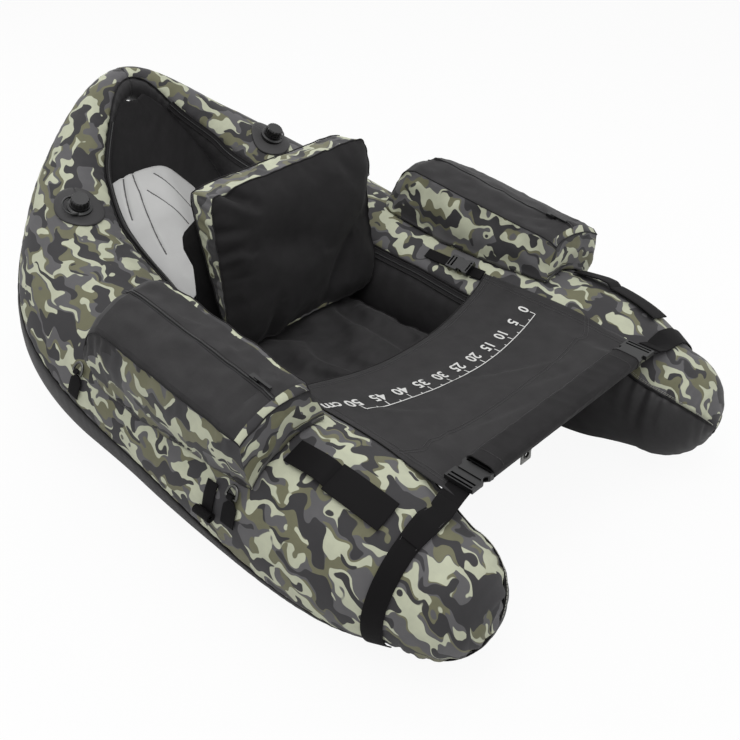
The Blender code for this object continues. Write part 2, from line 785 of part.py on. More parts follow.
def make_front_bar():
    centre = (SLEEVE_Y, SLEEVE_Z)
    sleeve = make_part("front_sleeve", tube_along_x(
        flat_oval(SLEEVE_DEPTH, SLEEVE_HEIGHT), -SLEEVE_HALF, SLEEVE_HALF, centre),
        "black_polyester")
    bore = make_cutter("sleeve_bore", tube_along_x(
        flat_oval(SLEEVE_DEPTH - 2 * SLEEVE_WALL, SLEEVE_HEIGHT - 2 * SLEEVE_WALL),
        -SLEEVE_HALF - OVERRUN, SLEEVE_HALF + OVERRUN, centre))
    cut(sleeve, bore)
    half = SLEEVE_HALF - BAR_INSET
    bar_z = SLEEVE_Z - SLEEVE_HEIGHT / 2 + SLEEVE_WALL + GAP + BAR_RADIUS
    turn = Matrix.Translation((-half, SLEEVE_Y, bar_z)) @ Matrix.Rotation(math.pi / 2, 4, "Y")
    bar = make_part("spreader_bar", turned(((BAR_RADIUS, 0), (BAR_RADIUS, 2 * half)), 20)
                    .placed(turn), "anodised_aluminium")
    inner = BAR_RADIUS - BAR_WALL
    cut(bar, make_cutter("bar_bore", turned(
        ((inner, -OVERRUN), (inner, 2 * half + OVERRUN)), 20).placed(turn)))

    # A small tab with an eyelet hangs under the sleeve's front edge.
    top = SLEEVE_Z - SLEEVE_HEIGHT / 2 - GAP
    y0 = SLEEVE_Y - SLEEVE_DEPTH / 4
    tab = make_part("eyelet_tab", box((TAB_X - TAB_WIDTH / 2, TAB_X + TAB_WIDTH / 2),
                                      (y0, y0 + TAB_THICK), (top - TAB_DROP, top)),
                    "grey_webbing")
    hole = Matrix.Translation((TAB_X, y0 - OVERRUN, top - TAB_DROP + 2 * EYELET_RADIUS))
    hole = hole @ Matrix.Rotation(-math.pi / 2, 4, "X")
    grommet_outer = EYELET_RADIUS + EYELET_WIRE
    cut(tab, make_cutter("tab_hole", turned(
        ((grommet_outer + GAP, 0), (grommet_outer + GAP, TAB_THICK + 2 * OVERRUN)), 16)
        .placed(hole)))
    seat = Matrix.Translation((TAB_X, y0 - EYELET_WIRE / 2, hole.translation.z))
    seat = seat @ Matrix.Rotation(-math.pi / 2, 4, "X")
    long = TAB_THICK + EYELET_WIRE
    ring = make_part("eyelet", turned(((grommet_outer, 0), (grommet_outer, long)), 16)
                     .placed(seat), "nickel_plate")
    cut(ring, make_cutter("eyelet_hole", turned(
        ((EYELET_RADIUS, -OVERRUN), (EYELET_RADIUS, long + OVERRUN)), 16).placed(seat)))


def buckle_shapes(web):
    """A side-release buckle along X, centred on its socket's mouth, for webbing of one width.

    The socket half lies at +X and the prong half at -X, with its prongs in the socket."""
    half_width = web / 2 + BUCKLE_SIDE
    half_length = BUCKLE_LENGTH / 2
    thick, wall = BUCKLE_THICK, BUCKLE_WALL
    prong = BUCKLE_LENGTH * PRONG_LENGTH_SHARE
    socket_end = half_length
    waist = half_width * SOCKET_WAIST_SHARE
    neck, shoulder = (half_length * share for share in SOCKET_SHOULDER_SHARES)
    outline = ((GAP, -waist), (neck, -waist), (shoulder, -half_width),
               (socket_end, -half_width), (socket_end, half_width),
               (shoulder, half_width), (neck, waist), (GAP, waist))
    socket = prism(outline, 0, thick)
    slot_inner = half_width - 2 * wall
    cavity = box((-OVERRUN, prong - wall), (-waist + wall, waist - wall),
                 (wall, thick - wall))
    web_slot = box((socket_end - 3 * wall, socket_end - wall), (-slot_inner, slot_inner),
                   (-OVERRUN, thick + OVERRUN))
    windows = Shape()
    for sign in (-1, 1):
        reach = sorted((sign * (waist - 2 * wall), sign * (half_width + OVERRUN)))
        windows.add(box([half_length * share for share in SOCKET_WINDOW_SHARES], reach,
                        (wall, thick - wall)))
    plate_y = half_width
    plate = box((-half_length, -GAP), (-plate_y, plate_y), (wall, thick - wall))
    tongue_low, tongue_high = wall + GAP, thick - wall - GAP
    side = waist - wall - GAP
    reach = prong - wall - 2 * GAP
    fork = prism([(reach * along or -OVERRUN, side - wall * inset)
                  for along, inset in FORK_SHARES], tongue_low, tongue_high)
    other = Shape([(p.x, -p.y, p.z) for p in fork.points], fork.faces)
    guide = box((-OVERRUN, prong * GUIDE_SHARE), (-wall, wall), (tongue_low, tongue_high))
    bar_slots = Shape()
    for step in (0, 1):
        start = -half_length + wall + step * 4 * wall
        bar_slots.add(box((start, start + 2 * wall), (-slot_inner, slot_inner),
                          (-OVERRUN, thick + OVERRUN)))
    return socket, (cavity, web_slot, windows), plate, (fork, other, guide), bar_slots


def make_buckle(name, word, side, web, frame):
    socket, hollows, plate, prongs, slots = buckle_shapes(web)
    label = name + "_" + word
    female = make_part(name + "_socket_" + word, socket.placed(frame), "black_acetal", side)
    for index, hollow in enumerate(hollows):
        cut(female, make_cutter("%s_hollow_%d" % (label, index), hollow.placed(frame), side))
    male = make_part(name + "_prongs_" + word, plate.placed(frame), "black_acetal", side,
                     frame.translation)
    for index, prong in enumerate(prongs):
        combine(male, make_cutter("%s_prong_%d" % (label, index), prong.placed(frame), side),
                "UNION")
    cut(male, make_cutter(label + "_slots", slots.placed(frame), side))
    return female, male


def make_front_straps(envelopes):
    """The buckles at the ends of the sleeve and the straps over the pontoons' tips."""
    place = place_at(SLEEVE_Y)
    joint_x = SLEEVE_HALF + BUCKLE_LENGTH / 2 + GAP
    frame = Matrix.Translation((joint_x, SLEEVE_Y, SLEEVE_Z - BUCKLE_THICK / 2))
    frame = frame @ Matrix.Rotation(math.pi, 4, "Z")
    start = Vector((joint_x + BUCKLE_LENGTH / 2 - BUCKLE_SEAT, SLEEVE_Y,
                    SLEEVE_Z - BUCKLE_THICK / 2 + BUCKLE_WALL - GAP - WEBBING))
    for side, word in SIDES:
        make_buckle("front_buckle", word, side, WIDE_WEB, frame)
        span = FRONT_STRAP_TOP - FRONT_STRAP_END
        count = int(span / MAX_ANGLE_STEP) + 1
        stops = stops_between((place, FRONT_STRAP_TOP), (place, FRONT_STRAP_END), count)
        rows = strap_rows(stops, WIDE_WEB)
        across = Vector((0, 1, 0)) * (WIDE_WEB / 2)
        if rows[0][1].y < 0:
            across = -across
        normal = skin_normal(place, FRONT_STRAP_LANDING)
        landing = skin(place, FRONT_STRAP_LANDING) + normal * 2 * GAP
        up = Vector((0, 0, 1))
        clear = start + Vector((BUCKLE_SEAT + GAP, 0, 0))
        free = [(start, across, up), (clear, across, up), (landing, across, normal)]
        bottoms = [0.0] * len(free) + [SINK] * len(rows)
        strap = make_part("front_strap_" + word, ribbon(free + rows, WEBBING, bottoms),
                          "black_webbing", side)
        cut(strap, envelopes[side])


def make_apron_straps(envelopes):
    """The short straps and buckles along the pontoons to the apron's rear corners."""
    place = place_at(APRON_BUCKLE_Y)
    frame = hull_frame(place, APRON_STRAP_ANGLE, 2 * WEBBING + 2 * GAP, Vector((0, -1, 0)))
    half = BUCKLE_LENGTH / 2 - BUCKLE_SEAT
    for side, word in SIDES:
        make_buckle("apron_buckle", word, side, NARROW_WEB, frame)
        for label, y0, y1 in (("rear", APRON_STRAP_BACK_Y, APRON_BUCKLE_Y + half),
                              ("front", APRON_BUCKLE_Y - half, APRON_BACK_Y + APRON_STRAP_CLEAR)):
            stops = stops_between((place_at(y0), APRON_STRAP_ANGLE),
                                  (place_at(y1), APRON_STRAP_ANGLE), 4)
            name = "apron_strap_%s_%s" % (label, word)
            strap = make_part(name, strap_on_hull(stops, NARROW_WEB, 2 * WEBBING),
                              "black_webbing", side)
            cut(strap, envelopes[side])


def pocket_ring(y, inset, wide, high):
    """One section of a pocket in X and Z: foot, outer wall, crowned top, inner wall."""
    middle_x = (POCKET_OUTER_X + POCKET_INNER_X) / 2
    middle_z = (POCKET_OUTER_Z + POCKET_INNER_Z) / 2 + POCKET_CROWN
    shoulder_x = POCKET_INNER_X + (POCKET_OUTER_X - MOUTH_OUTER_X)
    corners = (
        (POCKET_FOOT_INNER_X, POCKET_FOOT_Z),
        (POCKET_FOOT_OUTER_X, POCKET_FOOT_Z),
        (POCKET_OUTER_X, POCKET_OUTER_Z),
        (MOUTH_OUTER_X, POCKET_OUTER_Z + POCKET_CROWN * MOUTH_EDGE_SHARE),
        (middle_x, middle_z),
        (shoulder_x, POCKET_INNER_Z + POCKET_CROWN * INNER_EDGE_SHARE),
        (POCKET_INNER_X, POCKET_INNER_Z),
    )
    ring = []
    for (x, z), (to_x, to_z) in zip(corners, INSET_SHARES):
        x = middle_x + (x + to_x * inset - middle_x) * wide
        z = POCKET_FOOT_Z + (z + to_z * inset - POCKET_FOOT_Z) * high
        ring.append(Vector((x, y, z)))
    return ring


def pocket_shape(inset):
    length = POCKET_REAR_Y - POCKET_FRONT_Y
    rings = []
    for along, wide, high in POCKET_SHARES:
        y = POCKET_FRONT_Y + length * along
        y = min(max(y, POCKET_FRONT_Y + inset), POCKET_REAR_Y - inset)
        rings.append(pocket_ring(y, inset, wide, high))
    return loft(rings)


def pocket_top(x, y):
    """A point of a pocket's outer surface between its crown and its mouth's outer edge."""
    share = (y - POCKET_FRONT_Y) / (POCKET_REAR_Y - POCKET_FRONT_Y)
    for before, after in zip(POCKET_SHARES, POCKET_SHARES[1:]):
        if share <= after[0]:
            break
    t = (share - before[0]) / (after[0] - before[0])
    ring = pocket_ring(y, 0.0, *(a + (b - a) * t for a, b in zip(before[1:], after[1:])))
    outer, crown = ring[3], ring[4]
    return crown.lerp(outer, (x - crown.x) / (outer.x - crown.x))


def make_pockets(envelopes, inner_envelopes):
    highest = max(high for along, wide, high in POCKET_SHARES)
    ceiling = POCKET_FOOT_Z + (POCKET_INNER_Z + POCKET_CROWN - POCKET_FOOT_Z) * highest
    mouth = ((MOUTH_INNER_X, MOUTH_OUTER_X), (MOUTH_FRONT_Y, MOUTH_REAR_Y),
             (POCKET_OUTER_Z - 2 * POCKET_WALL, ceiling + OVERRUN))
    small = [(low + gap, high - gap) for (low, high), gap in zip(mouth, (GAP, LID_END_GAP, GAP))]
    for side, word in SIDES:
        room = make_cutter("pocket_room_" + word, pocket_shape(POCKET_WALL), side)
        cut(room, inner_envelopes[side])
        body = make_part("pocket_" + word, pocket_shape(0.0), "camouflage_polyester", side)
        cut(body, envelopes[side], room, make_cutter("mouth_" + word, box(*mouth), side))
        pivot = pocket_top(MOUTH_OUTER_X, (MOUTH_FRONT_Y + MOUTH_REAR_Y) / 2)
        flap = make_part("pocket_flap_" + word, pocket_shape(0.0), "black_polyester", side,
                         pivot)
        solid_room = make_cutter("flap_room_" + word, pocket_shape(POCKET_WALL), side)
        cut(flap, solid_room)
        combine(flap, make_cutter("flap_limit_" + word, box(*small), side), "INTERSECT")
        make_pocket_slider(side, word)


def make_pocket_slider(side, word):
    """The slider rides beside the mouth, with its pull hanging over the slider's end."""
    middle = MOUTH_INNER_X - GAP - SLIDER_WIDTH / 2
    crown_x = (POCKET_OUTER_X + POCKET_INNER_X) / 2
    start = MOUTH_FRONT_Y + SLIDER_LENGTH / 2
    front, rear = pocket_top(crown_x, start), pocket_top(crown_x, start + SLIDER_LENGTH)
    slope = math.atan2(rear.z - front.z, rear.y - front.y)
    frame = Matrix.Translation((middle, start, front.z + 2 * GAP))
    frame = frame @ Matrix.Rotation(slope, 4, "X")
    half = SLIDER_WIDTH / 2
    body = box((-half, half), (0, SLIDER_LENGTH), (0, SLIDER_HEIGHT))
    pull = box((-PULL_WIDTH / 2, PULL_WIDTH / 2), (-PULL_LENGTH, SLIDER_LENGTH / 2),
               (SLIDER_HEIGHT - PULL_THICK, SLIDER_HEIGHT + PULL_THICK))
    slider = make_part("pocket_slider_" + word, body.placed(frame), "black_acetal", side,
                       frame.translation)
    combine(slider, make_cutter("pocket_pull_" + word, pull.placed(frame), side), "UNION")


def disc_on_hull(place, angle, radius, low, high, sides=24):
    """A round patch that follows the pontoon."""
    rings = []
    middle, half, full = DISC_SHARES
    for rise, share in ((low, middle), (low, full), (high, full), (high, half), (high, middle)):
        ring = []
        for k in range(sides):
            turn = 2 * math.pi * k / sides
            reach = radius * share
            ring.append(near_skin(place, angle, reach * math.cos(turn), reach * math.sin(turn),
                                  rise))
        rings.append(ring)
    return loft(rings)


def make_valves(envelopes):
    place = place_at(VALVE_Y)
    for side, word in SIDES:
        patch = make_part("valve_patch_" + word,
                          disc_on_hull(place, VALVE_ANGLE, PATCH_RADIUS, -SINK, PATCH_RISE),
                          "black_pvc", side)
        cut(patch, envelopes[side])
        patch_top = make_cutter("patch_top_" + word, disc_on_hull(
            place, VALVE_ANGLE, PATCH_RADIUS, -2 * SINK, PATCH_RISE + GAP), side)
        frame = hull_frame(place, VALVE_ANGLE, PATCH_RISE + GAP)
        flange, shoulder = (VALVE_HEIGHT * share for share in FLANGE_SHARES)
        base = make_part("valve_" + word, turned((
            (VALVE_RADIUS, -SINK), (VALVE_RADIUS, flange),
            (VALVE_RADIUS * SHOULDER_SHARE, shoulder), (CAP_RADIUS + WEBBING, shoulder),
            (CAP_RADIUS + WEBBING, VALVE_HEIGHT), (STEM_RADIUS, VALVE_HEIGHT)), 28).placed(frame),
            "black_acetal", side)
        cut(base, patch_top)
        lift = Matrix.Translation((0, 0, VALVE_HEIGHT + GAP))
        profile = [(CAP_RADIUS * out, CAP_HEIGHT * high) for out, high in CAP_SHARES]
        make_part("valve_cap_" + word,
                  turned(profile, 2 * CAP_KNURLS, KNURL_DEPTH).placed(frame @ lift),
                  "black_acetal", side, (frame @ lift).translation)


def ring_outline():
    """The centre line of a D-ring: a straight bar along X through the origin, bow along -Y."""
    points = []
    half = RING_SPAN / 2
    count = 9
    for k in range(count):
        turn = math.pi * k / (count - 1)
        points.append((half * math.cos(turn), -RING_DEPTH * math.sin(turn) ** RING_BOW_POWER))
    return points


def ring_shape():
    """A bent wire D-ring, round in section."""
    path = [Vector((x, y, 0)) for x, y in ring_outline()]
    count, sides = len(path), 8
    rings = []
    for k, point in enumerate(path):
        before, after = path[k - 1], path[(k + 1) % count]
        along = ((after - point).normalized() + (point - before).normalized()).normalized()
        across = Vector((0, 0, 1)).cross(along)
        stretch = 1 / max(along.dot((after - point).normalized()), 0.5)
        rings.append([point + across * (RING_WIRE * stretch * math.cos(2 * math.pi * j / sides))
                      + Vector((0, 0, RING_WIRE * math.sin(2 * math.pi * j / sides)))
                      for j in range(sides)])
    points = [p for ring in rings for p in ring]
    faces = []
    for k in range(count):
        for j in range(sides):
            a = k * sides + j
            b = k * sides + (j + 1) % sides
            c = ((k + 1) % count) * sides + (j + 1) % sides
            d = ((k + 1) % count) * sides + j
            faces.append((a, b, c, d))
    return Shape(points, faces)


def make_ring(name, word, side, y, angle, envelope):
    """A D-ring in a webbing sleeve at the top of a sewn anchor patch."""
    place = place_at(y)
    lift = RING_SLEEVE_RADIUS + GAP
    frame = hull_frame(place, angle, lift + RING_STANDOFF)
    turn = frame @ Matrix.Translation((-RING_SLEEVE_HALF, 0, 0)) @ Matrix.Rotation(
        math.pi / 2, 4, "Y")
    sleeve = turned(((RING_SLEEVE_RADIUS, 0), (RING_SLEEVE_RADIUS, 2 * RING_SLEEVE_HALF)), 16)
    drop = math.degrees(ANCHOR_LENGTH / section(place)[1])
    stops = stops_between((place, angle), (place, angle - drop), 5)
    anchor = make_part(name + "_anchor_" + word,
                       strap_on_hull(stops, ANCHOR_WIDTH, 2 * WEBBING), "black_webbing", side)
    cut(anchor, envelope)
    label = name + "_" + word
    combine(anchor, make_cutter(label + "_sleeve", sleeve.placed(turn), side), "UNION")
    bore = RING_WIRE + 2 * GAP
    slot = turned(((bore, -OVERRUN), (bore, 2 * RING_SLEEVE_HALF + OVERRUN)), 12).placed(turn)
    cut(anchor, make_cutter(label + "_bore", slot, side))
    make_part(label, ring_shape().placed(frame @ Matrix.Rotation(math.radians(-180), 4, "Z")),
              "nickel_plate", side, frame.translation)


def make_rings(envelopes):
    for side, word in SIDES:
        make_ring("front_ring", word, side, FRONT_RING_Y, FRONT_RING_ANGLE, envelopes[side])
        make_ring("rear_ring", word, side, REAR_RING_Y, REAR_RING_ANGLE, envelopes[side])


def make_handles(envelopes):
    """A short webbing carry handle with a rolled grip, hanging on the outer side."""
    place = place_at(HANDLE_Y)
    radius = section(place)[1]
    drop = math.degrees(HANDLE_DROP / radius)
    for side, word in SIDES:
        stops = stops_between((place, HANDLE_TOP_ANGLE), (place, HANDLE_TOP_ANGLE - drop), 5)
        rows = []
        for centre, half, normal in strap_rows(stops, HANDLE_WIDTH):
            rows.append((centre + normal * 2 * GAP, half, normal))
        band = ribbon(rows, WEBBING, [0.0] * len(rows))
        pivot = rows[0][0]
        handle = make_part("carry_handle_" + word, band, "black_webbing", side, pivot)
        end = skin(place, HANDLE_TOP_ANGLE - drop, HANDLE_ROLL_RADIUS + 2 * GAP)
        _, _, _, _, along = section(place)
        turn = along.to_track_quat("Z", "Y").to_matrix().to_4x4()
        turn.translation = end - along * (HANDLE_ROLL_LENGTH / 2)
        roll = turned(((HANDLE_ROLL_RADIUS * ROLL_END_SHARE, 0), (HANDLE_ROLL_RADIUS, WEBBING),
                       (HANDLE_ROLL_RADIUS, HANDLE_ROLL_LENGTH - WEBBING),
                       (HANDLE_ROLL_RADIUS * ROLL_END_SHARE, HANDLE_ROLL_LENGTH)), 14).placed(turn)
        combine(handle, make_cutter("handle_roll_" + word, roll, side), "UNION")
        cut(handle, envelopes[side])


def make_rod_straps(envelopes):
    """The rod strap: a sewn webbing tail, and a looped flap that lies on its patch."""
    for side, word in SIDES:
        stops = stops_between((place_at(ROD_PATCH_BACK_Y), ROD_STRAP_ANGLE),
                              (place_at(ROD_PATCH_FRONT_Y), ROD_STRAP_ANGLE), 6)
        patch = make_part("rod_patch_" + word, strap_on_hull(stops, WIDE_WEB, 2 * WEBBING),
                          "black_webbing", side)
        cut(patch, envelopes[side])
        stops = stops_between((place_at(ROD_STRAP_BACK_Y), ROD_STRAP_ANGLE),
                              (place_at(ROD_PATCH_BACK_Y + 4 * GAP), ROD_STRAP_ANGLE), 5)
        hinge = hull_frame(*stops[0], GAP)
        strap = make_part("rod_strap_" + word, strap_on_hull(stops, ROD_STRAP_WIDTH, 2 * WEBBING),
                          "black_webbing", side, hinge.translation)
        cut(strap, envelopes[side])


def main():
    clear_scene()
    envelopes, inner_envelopes = {}, {}
    for side, word in SIDES:
        envelopes[side] = make_cutter("envelope_" + word, pontoon_shape(GAP), side)
        inner_envelopes[side] = make_cutter("pocket_floor_" + word,
                                            pontoon_shape(GAP + POCKET_WALL), side)
    make_hull(envelopes)
    make_seat(envelopes)
    make_backrest()
    make_bay(envelopes)
    make_apron(envelopes)
    make_front_bar()
    make_front_straps(envelopes)
    make_apron_straps(envelopes)
    make_pockets(envelopes, inner_envelopes)
    make_valves(envelopes)
    make_rings(envelopes)
    make_handles(envelopes)
    make_rod_straps(envelopes)


if __name__ == "__main__":
    main()
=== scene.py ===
import math

import bmesh
import bpy
import numpy as np
from mathutils import Matrix, Vector, noise


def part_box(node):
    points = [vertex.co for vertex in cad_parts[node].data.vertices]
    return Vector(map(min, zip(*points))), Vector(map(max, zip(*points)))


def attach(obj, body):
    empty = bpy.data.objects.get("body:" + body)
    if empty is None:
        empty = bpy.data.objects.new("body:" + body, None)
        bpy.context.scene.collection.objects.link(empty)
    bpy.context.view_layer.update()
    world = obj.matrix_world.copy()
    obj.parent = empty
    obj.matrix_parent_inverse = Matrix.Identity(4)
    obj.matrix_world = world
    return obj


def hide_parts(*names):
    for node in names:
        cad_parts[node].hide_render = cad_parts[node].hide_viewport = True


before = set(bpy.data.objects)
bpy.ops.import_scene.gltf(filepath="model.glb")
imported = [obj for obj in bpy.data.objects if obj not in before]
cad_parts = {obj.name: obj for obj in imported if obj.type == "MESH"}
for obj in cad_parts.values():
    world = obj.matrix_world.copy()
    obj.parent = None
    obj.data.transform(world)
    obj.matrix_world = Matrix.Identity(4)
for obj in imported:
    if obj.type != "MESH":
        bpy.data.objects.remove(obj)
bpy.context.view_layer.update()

bl_info = {
    "name": "Float tube",
    "version": (1, 0, 0),
    "blender": (4, 5, 0),
    "location": "3D View > Sidebar > Float tube",
    "description": "Cloth, webbing and fittings for an inflatable fishing float tube",
    "category": "Object",
}

# Lengths are in metres and angles in degrees, unless a name or a comment says otherwise.
MM = 0.001
WAVE_UNIT = math.pi / 10      # period of the wave texture at scale 1, in metres
SIDES = ((1, "left"), (-1, "right"))

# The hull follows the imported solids: each row is a station of a pontoon, from tip to bow.
HULL_LENGTH = 1.496
AXLE_TRACK = 0.385
TUBE_RADIUS = 0.170
BOW_HEIGHT = 0.580
FOOT_HALF_ANGLE = 13.0
STATION_SHARES = (
    (0.975, -0.4210, 0.064, 0.695),
    (0.998, -0.2940, 0.000, 0.975),
    (0.982, -0.0020, 0.000, 0.965),
    (0.878, 0.2580, 0.079, 1.030),
    (0.569, 0.4144, 0.571, 0.535),
    (0.000, 0.4722, 0.966, 0.2450),
)
OUTER_SEAM_DEGREES = (-55.0, -24.0, -3.0, 10.0, -5.0, -20.0)
INNER_SEAM_DEGREES = (140.0, 137.0, 139.0, 138.0, 133.0, 132.0, 138.0, 142.0, 160.0, 175.0,
                      142.0)
LAST = len(STATION_SHARES) - 1
STATION_STEP = 0.01          # for slopes
FLOOR_GAP = 0.0005
BAY_EDGE_ANGLE = 196.0
BAY_LAST_STATION = 4.84
BAY_FRONT_Y = 0.185
BAY_SAG = 0.075
BAY_ACROSS = 48              # steps of its cloth
WALL_TOP_Z = 0.494
WALL_PROFILE = ((0.20, 0.30, 0.39, 0.44, 0.472, 0.494),
                (0.220, 0.222, 0.225, 0.246, 0.246, 0.208))    # half width at each height
FLAP_STATIONS = (2.60, 4.03)
FLAP_BELOW_SEAM = 15.0
FLAP_WIDTH_SHARES = (0.20, 0.64)
FLAP_DRAW = 0.050
# Creases of the storage cover: both ends of each, as shares across it and along it.
FLAP_CREASES = ((0.14, 1.00, 0.08, 0.72), (0.25, 1.02, 0.28, 0.86), (0.28, 0.86, 0.26, 0.66),
                (0.26, 0.66, 0.21, 0.42), (0.37, 0.86, 0.74, 0.59), (0.50, 0.96, 0.88, 0.76))

# Back pad, seat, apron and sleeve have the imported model's sizes.
BACK_PIVOT = (0.0, 0.038, 0.20556)
BACK_LEAN = 9.5
BACK_FOOT_WIDTH = 0.412
BACK_HEIGHT = 0.386
BACK_EDGE = 0.066
BACK_CROWN = 0.010
BACK_FACE_FOOT = 0.486       # the front face laps over the gusset at its foot
BACK_FACE_TOP = 0.486
BACK_TOP_SPARE = 0.018       # how much deeper the pad is at its top
BACK_ROLL = 0.010            # how far the front rolls back towards its top
# Folds of the pad's front: both ends of each as x and y, its width and its height.
BACK_FOLDS = ((-0.185, 0.200, -0.120, 0.135, 0.015, 0.0140),
              (0.060, -0.200, 0.118, -0.050, 0.022, 0.0110),
              (-0.104, -0.196, -0.082, -0.105, 0.018, 0.0090),
              (0.180, 0.060, -0.020, -0.150, 0.070, 0.0160),
              (0.095, 0.185, 0.120, 0.110, 0.018, 0.0050),
              (-0.215, 0.105, -0.150, 0.092, 0.012, 0.0050),
              (-0.215, 0.050, -0.160, 0.056, 0.012, 0.0045),
              (-0.110, 0.030, 0.020, -0.020, 0.045, 0.0080))
SEAT_WIDTH = 0.372
SEAT_FRONT_Y = -0.280
SEAT_BACK_Y = 0.150
SEAT_TOP_Z = 0.205
SEAT_EDGE = 0.040
SEAT_CROWN = 0.016
APRON_BACK_Y = -0.193
APRON_BACK_BOW = 0.045
APRON_EDGE_Z = 0.3075
APRON_HALF_WIDTH = 0.309
APRON_SAG = 0.032
APRON_FRONT_SAG_SHARE = 0.25
APRON_CORNER = (0.232, 0.045, 0.013)    # where it begins, how far it runs on, how far it falls
# Creases of the apron: both ends of each as x and y, and its height.
APRON_CREASES = ((-0.03, -0.385, 0.17, -0.505, 0.0040), (-0.18, -0.500, 0.02, -0.545, 0.0030),
                 (0.02, -0.500, 0.16, -0.545, 0.0026), (-0.26, -0.30, -0.13, -0.44, 0.0030),
                 (-0.24, -0.52, -0.14, -0.43, 0.0030))
SLEEVE_Y = -0.590
SLEEVE_Z = 0.306
SLEEVE_DEPTH = 0.061
SLEEVE_HEIGHT = 0.030
SLEEVE_HALF = 0.232
RULER_LINE = (-0.385, -0.064, 0.547)     # y along it: constant, slope and bow
RULER_MIDDLE_X = 0.007
RULER_LENGTH = 0.50

# Pockets
POCKET_Y = (-0.330, 0.158)
POCKET_TOP_X = (0.364, 0.546)
POCKET_FOOT_X = (0.338, 0.520)
POCKET_EDGE_Z = (0.411, 0.380)
POCKET_CROWN = 0.020
POCKET_FOOT_Z = 0.235
# How far along a pocket, how wide and how high it is there.
POCKET_SHARES = ((0.0, 0.03, 0.08, 0.84, 0.89, 0.93, 0.965, 0.985, 1.0),
                 (0.96, 0.99, 1.00, 1.00, 0.99, 0.97, 0.92, 0.87, 0.82),
                 (0.95, 1.01, 1.04, 1.28, 1.24, 1.15, 1.01, 0.91, 0.80))
# How low the black hood comes down the outer side, as shares of its height, by y.
POCKET_HOOD = ((0.0, 0.035, 0.080, 0.110, 0.158), (1.0, 0.86, 0.68, 0.62, 0.45))
POCKET_DROOP = 0.026            # of the top's outer rear corner
POCKET_REAR_FALL = 0.016        # of its whole rear edge, behind the zip
LID_X = (0.448, 0.536)
LID_Y = (-0.278, 0.080)

# Webbing and fittings
WIDE_WEB = 0.046
STRAP_WEB = 0.038        # round the tips, past the doubled end
NARROW_WEB = 0.025
BUCKLE_LENGTH = 0.060
BUCKLE_SEAT = 0.012
BUCKLE_THICK = 0.013
BUCKLE_WALL = 0.0022
FRONT_STRAP_ANGLES = (103.0, 88.0, -46.0)    # where it lands, lies down and ends
APRON_STRAP_ANGLE = 119.0
APRON_STRAP_Y = (-0.020, -0.110, -0.146, -0.1915)
VALVE_Y = 0.567
VALVE_ANGLE = 100.0
PATCH_RADIUS = 0.056
PATCH_RISE = 0.0045
RINGS = (("front_ring", -0.298, 29.0), ("rear_ring", 0.185, 29.0))
RING_SPAN = 0.026
RING_DEPTH = 0.022
RING_WIRE = 0.0028
RING_LIFT = 0.0085
ANCHOR_LENGTH = 0.055
ANCHOR_WIDTH = 0.034
HANDLE_Y = -0.243
HANDLE_ANGLE = 30.0
HANDLE_WIDTH = 0.028
HANDLE_DROP = 0.060
HANDLE_ROLL = (0.010, 0.042)
ROD_ANGLE = 71.0
ROD_Y = (-0.352, -0.440, -0.545)    # hinge of the loop, rear and front of its patch
ZIP_FRONT_Y = -0.185
ZIP_LAST_STATION = 4.55
ZIP_BELOW_SEAM = 5.5
ZIP_WIDTH = 0.022


def linear(hex_colour):
    """An sRGB hex value as linear RGB."""
    channels = [int(hex_colour[i:i + 2], 16) / 255 for i in (1, 3, 5)]
    return [c / 12.92 if c <= 0.04045 else ((c + 0.055) / 1.055) ** 2.4 for c in channels]


def colour_prop(name, description, hex_colour):
    return bpy.props.FloatVectorProperty(name=name, description=description, subtype="COLOR",
                                         size=3, min=0, max=1, default=linear(hex_colour))


def length_prop(name, description, value):
    return bpy.props.FloatProperty(name=name, description=description, default=value,
                                   min=0, unit="LENGTH", subtype="DISTANCE", precision=4)


class FloatTubeColours(bpy.types.PropertyGroup):
    camo_light: colour_prop("Sage", "Lightest colour of the printed cloth", "#C4C7B0")
    camo_olive: colour_prop("Olive", "Green-brown of the printed cloth", "#72715A")
    camo_grey: colour_prop("Grey", "Middle grey of the printed cloth", "#605F61")
    camo_dark: colour_prop("Charcoal", "Darkest colour of the printed cloth", "#363537")
    black_cloth: colour_prop("Black cloth", "Pack cloth of pads, lids and apron", "#212021")
    hull_cloth: colour_prop("Lower cover", "Coated cloth under the tubes", "#2B2A2B")
    grey_sheet: colour_prop("Storage cover", "Coated side of the bay's cover", "#BDBDBC")
    webbing: colour_prop("Webbing", "Straps and handles", "#0F0E0F")
    plastic: colour_prop("Buckles", "Moulded buckles, valves and sliders", "#121213")
    ink: colour_prop("Ruler ink", "Print on the apron", "#D6D6D4")


class FloatTubeSizes(bpy.types.PropertyGroup):
    grid: length_prop("Cloth grid", "Spacing of the hull covers' points", 0.0065)
    pucker: length_prop("Seam pucker", "Height of the gathers along the hull's seams", 0.0022)
    piping: length_prop("Piping", "Radius of the bound edges of pads", 0.0014)
    webbing: length_prop("Webbing", "Thickness of the straps", 0.0022)
    swell: length_prop("Swell", "How far the stuffed pads may move when filled", 0.014)


def sizes():
    return bpy.context.scene.float_tube_sizes


def colours():
    return bpy.context.scene.float_tube_colours


# Nodes and materials

CREASE_SIZE = 1 / 26
LOBE_SIZE = 0.031            # of the outlines of the camouflage's blobs
LOBE_SWING = 0.042
BLOB_SIZE = (0.068, 0.032)   # along the cloth and across it
BLOB_TURN = 0.2              # radians
BLOB_EDGE = 0.012            # share of the noise over which an ink's edge runs out
FLOOR_GLOW = 0.93            # share of the floor that the camera sees as plain white


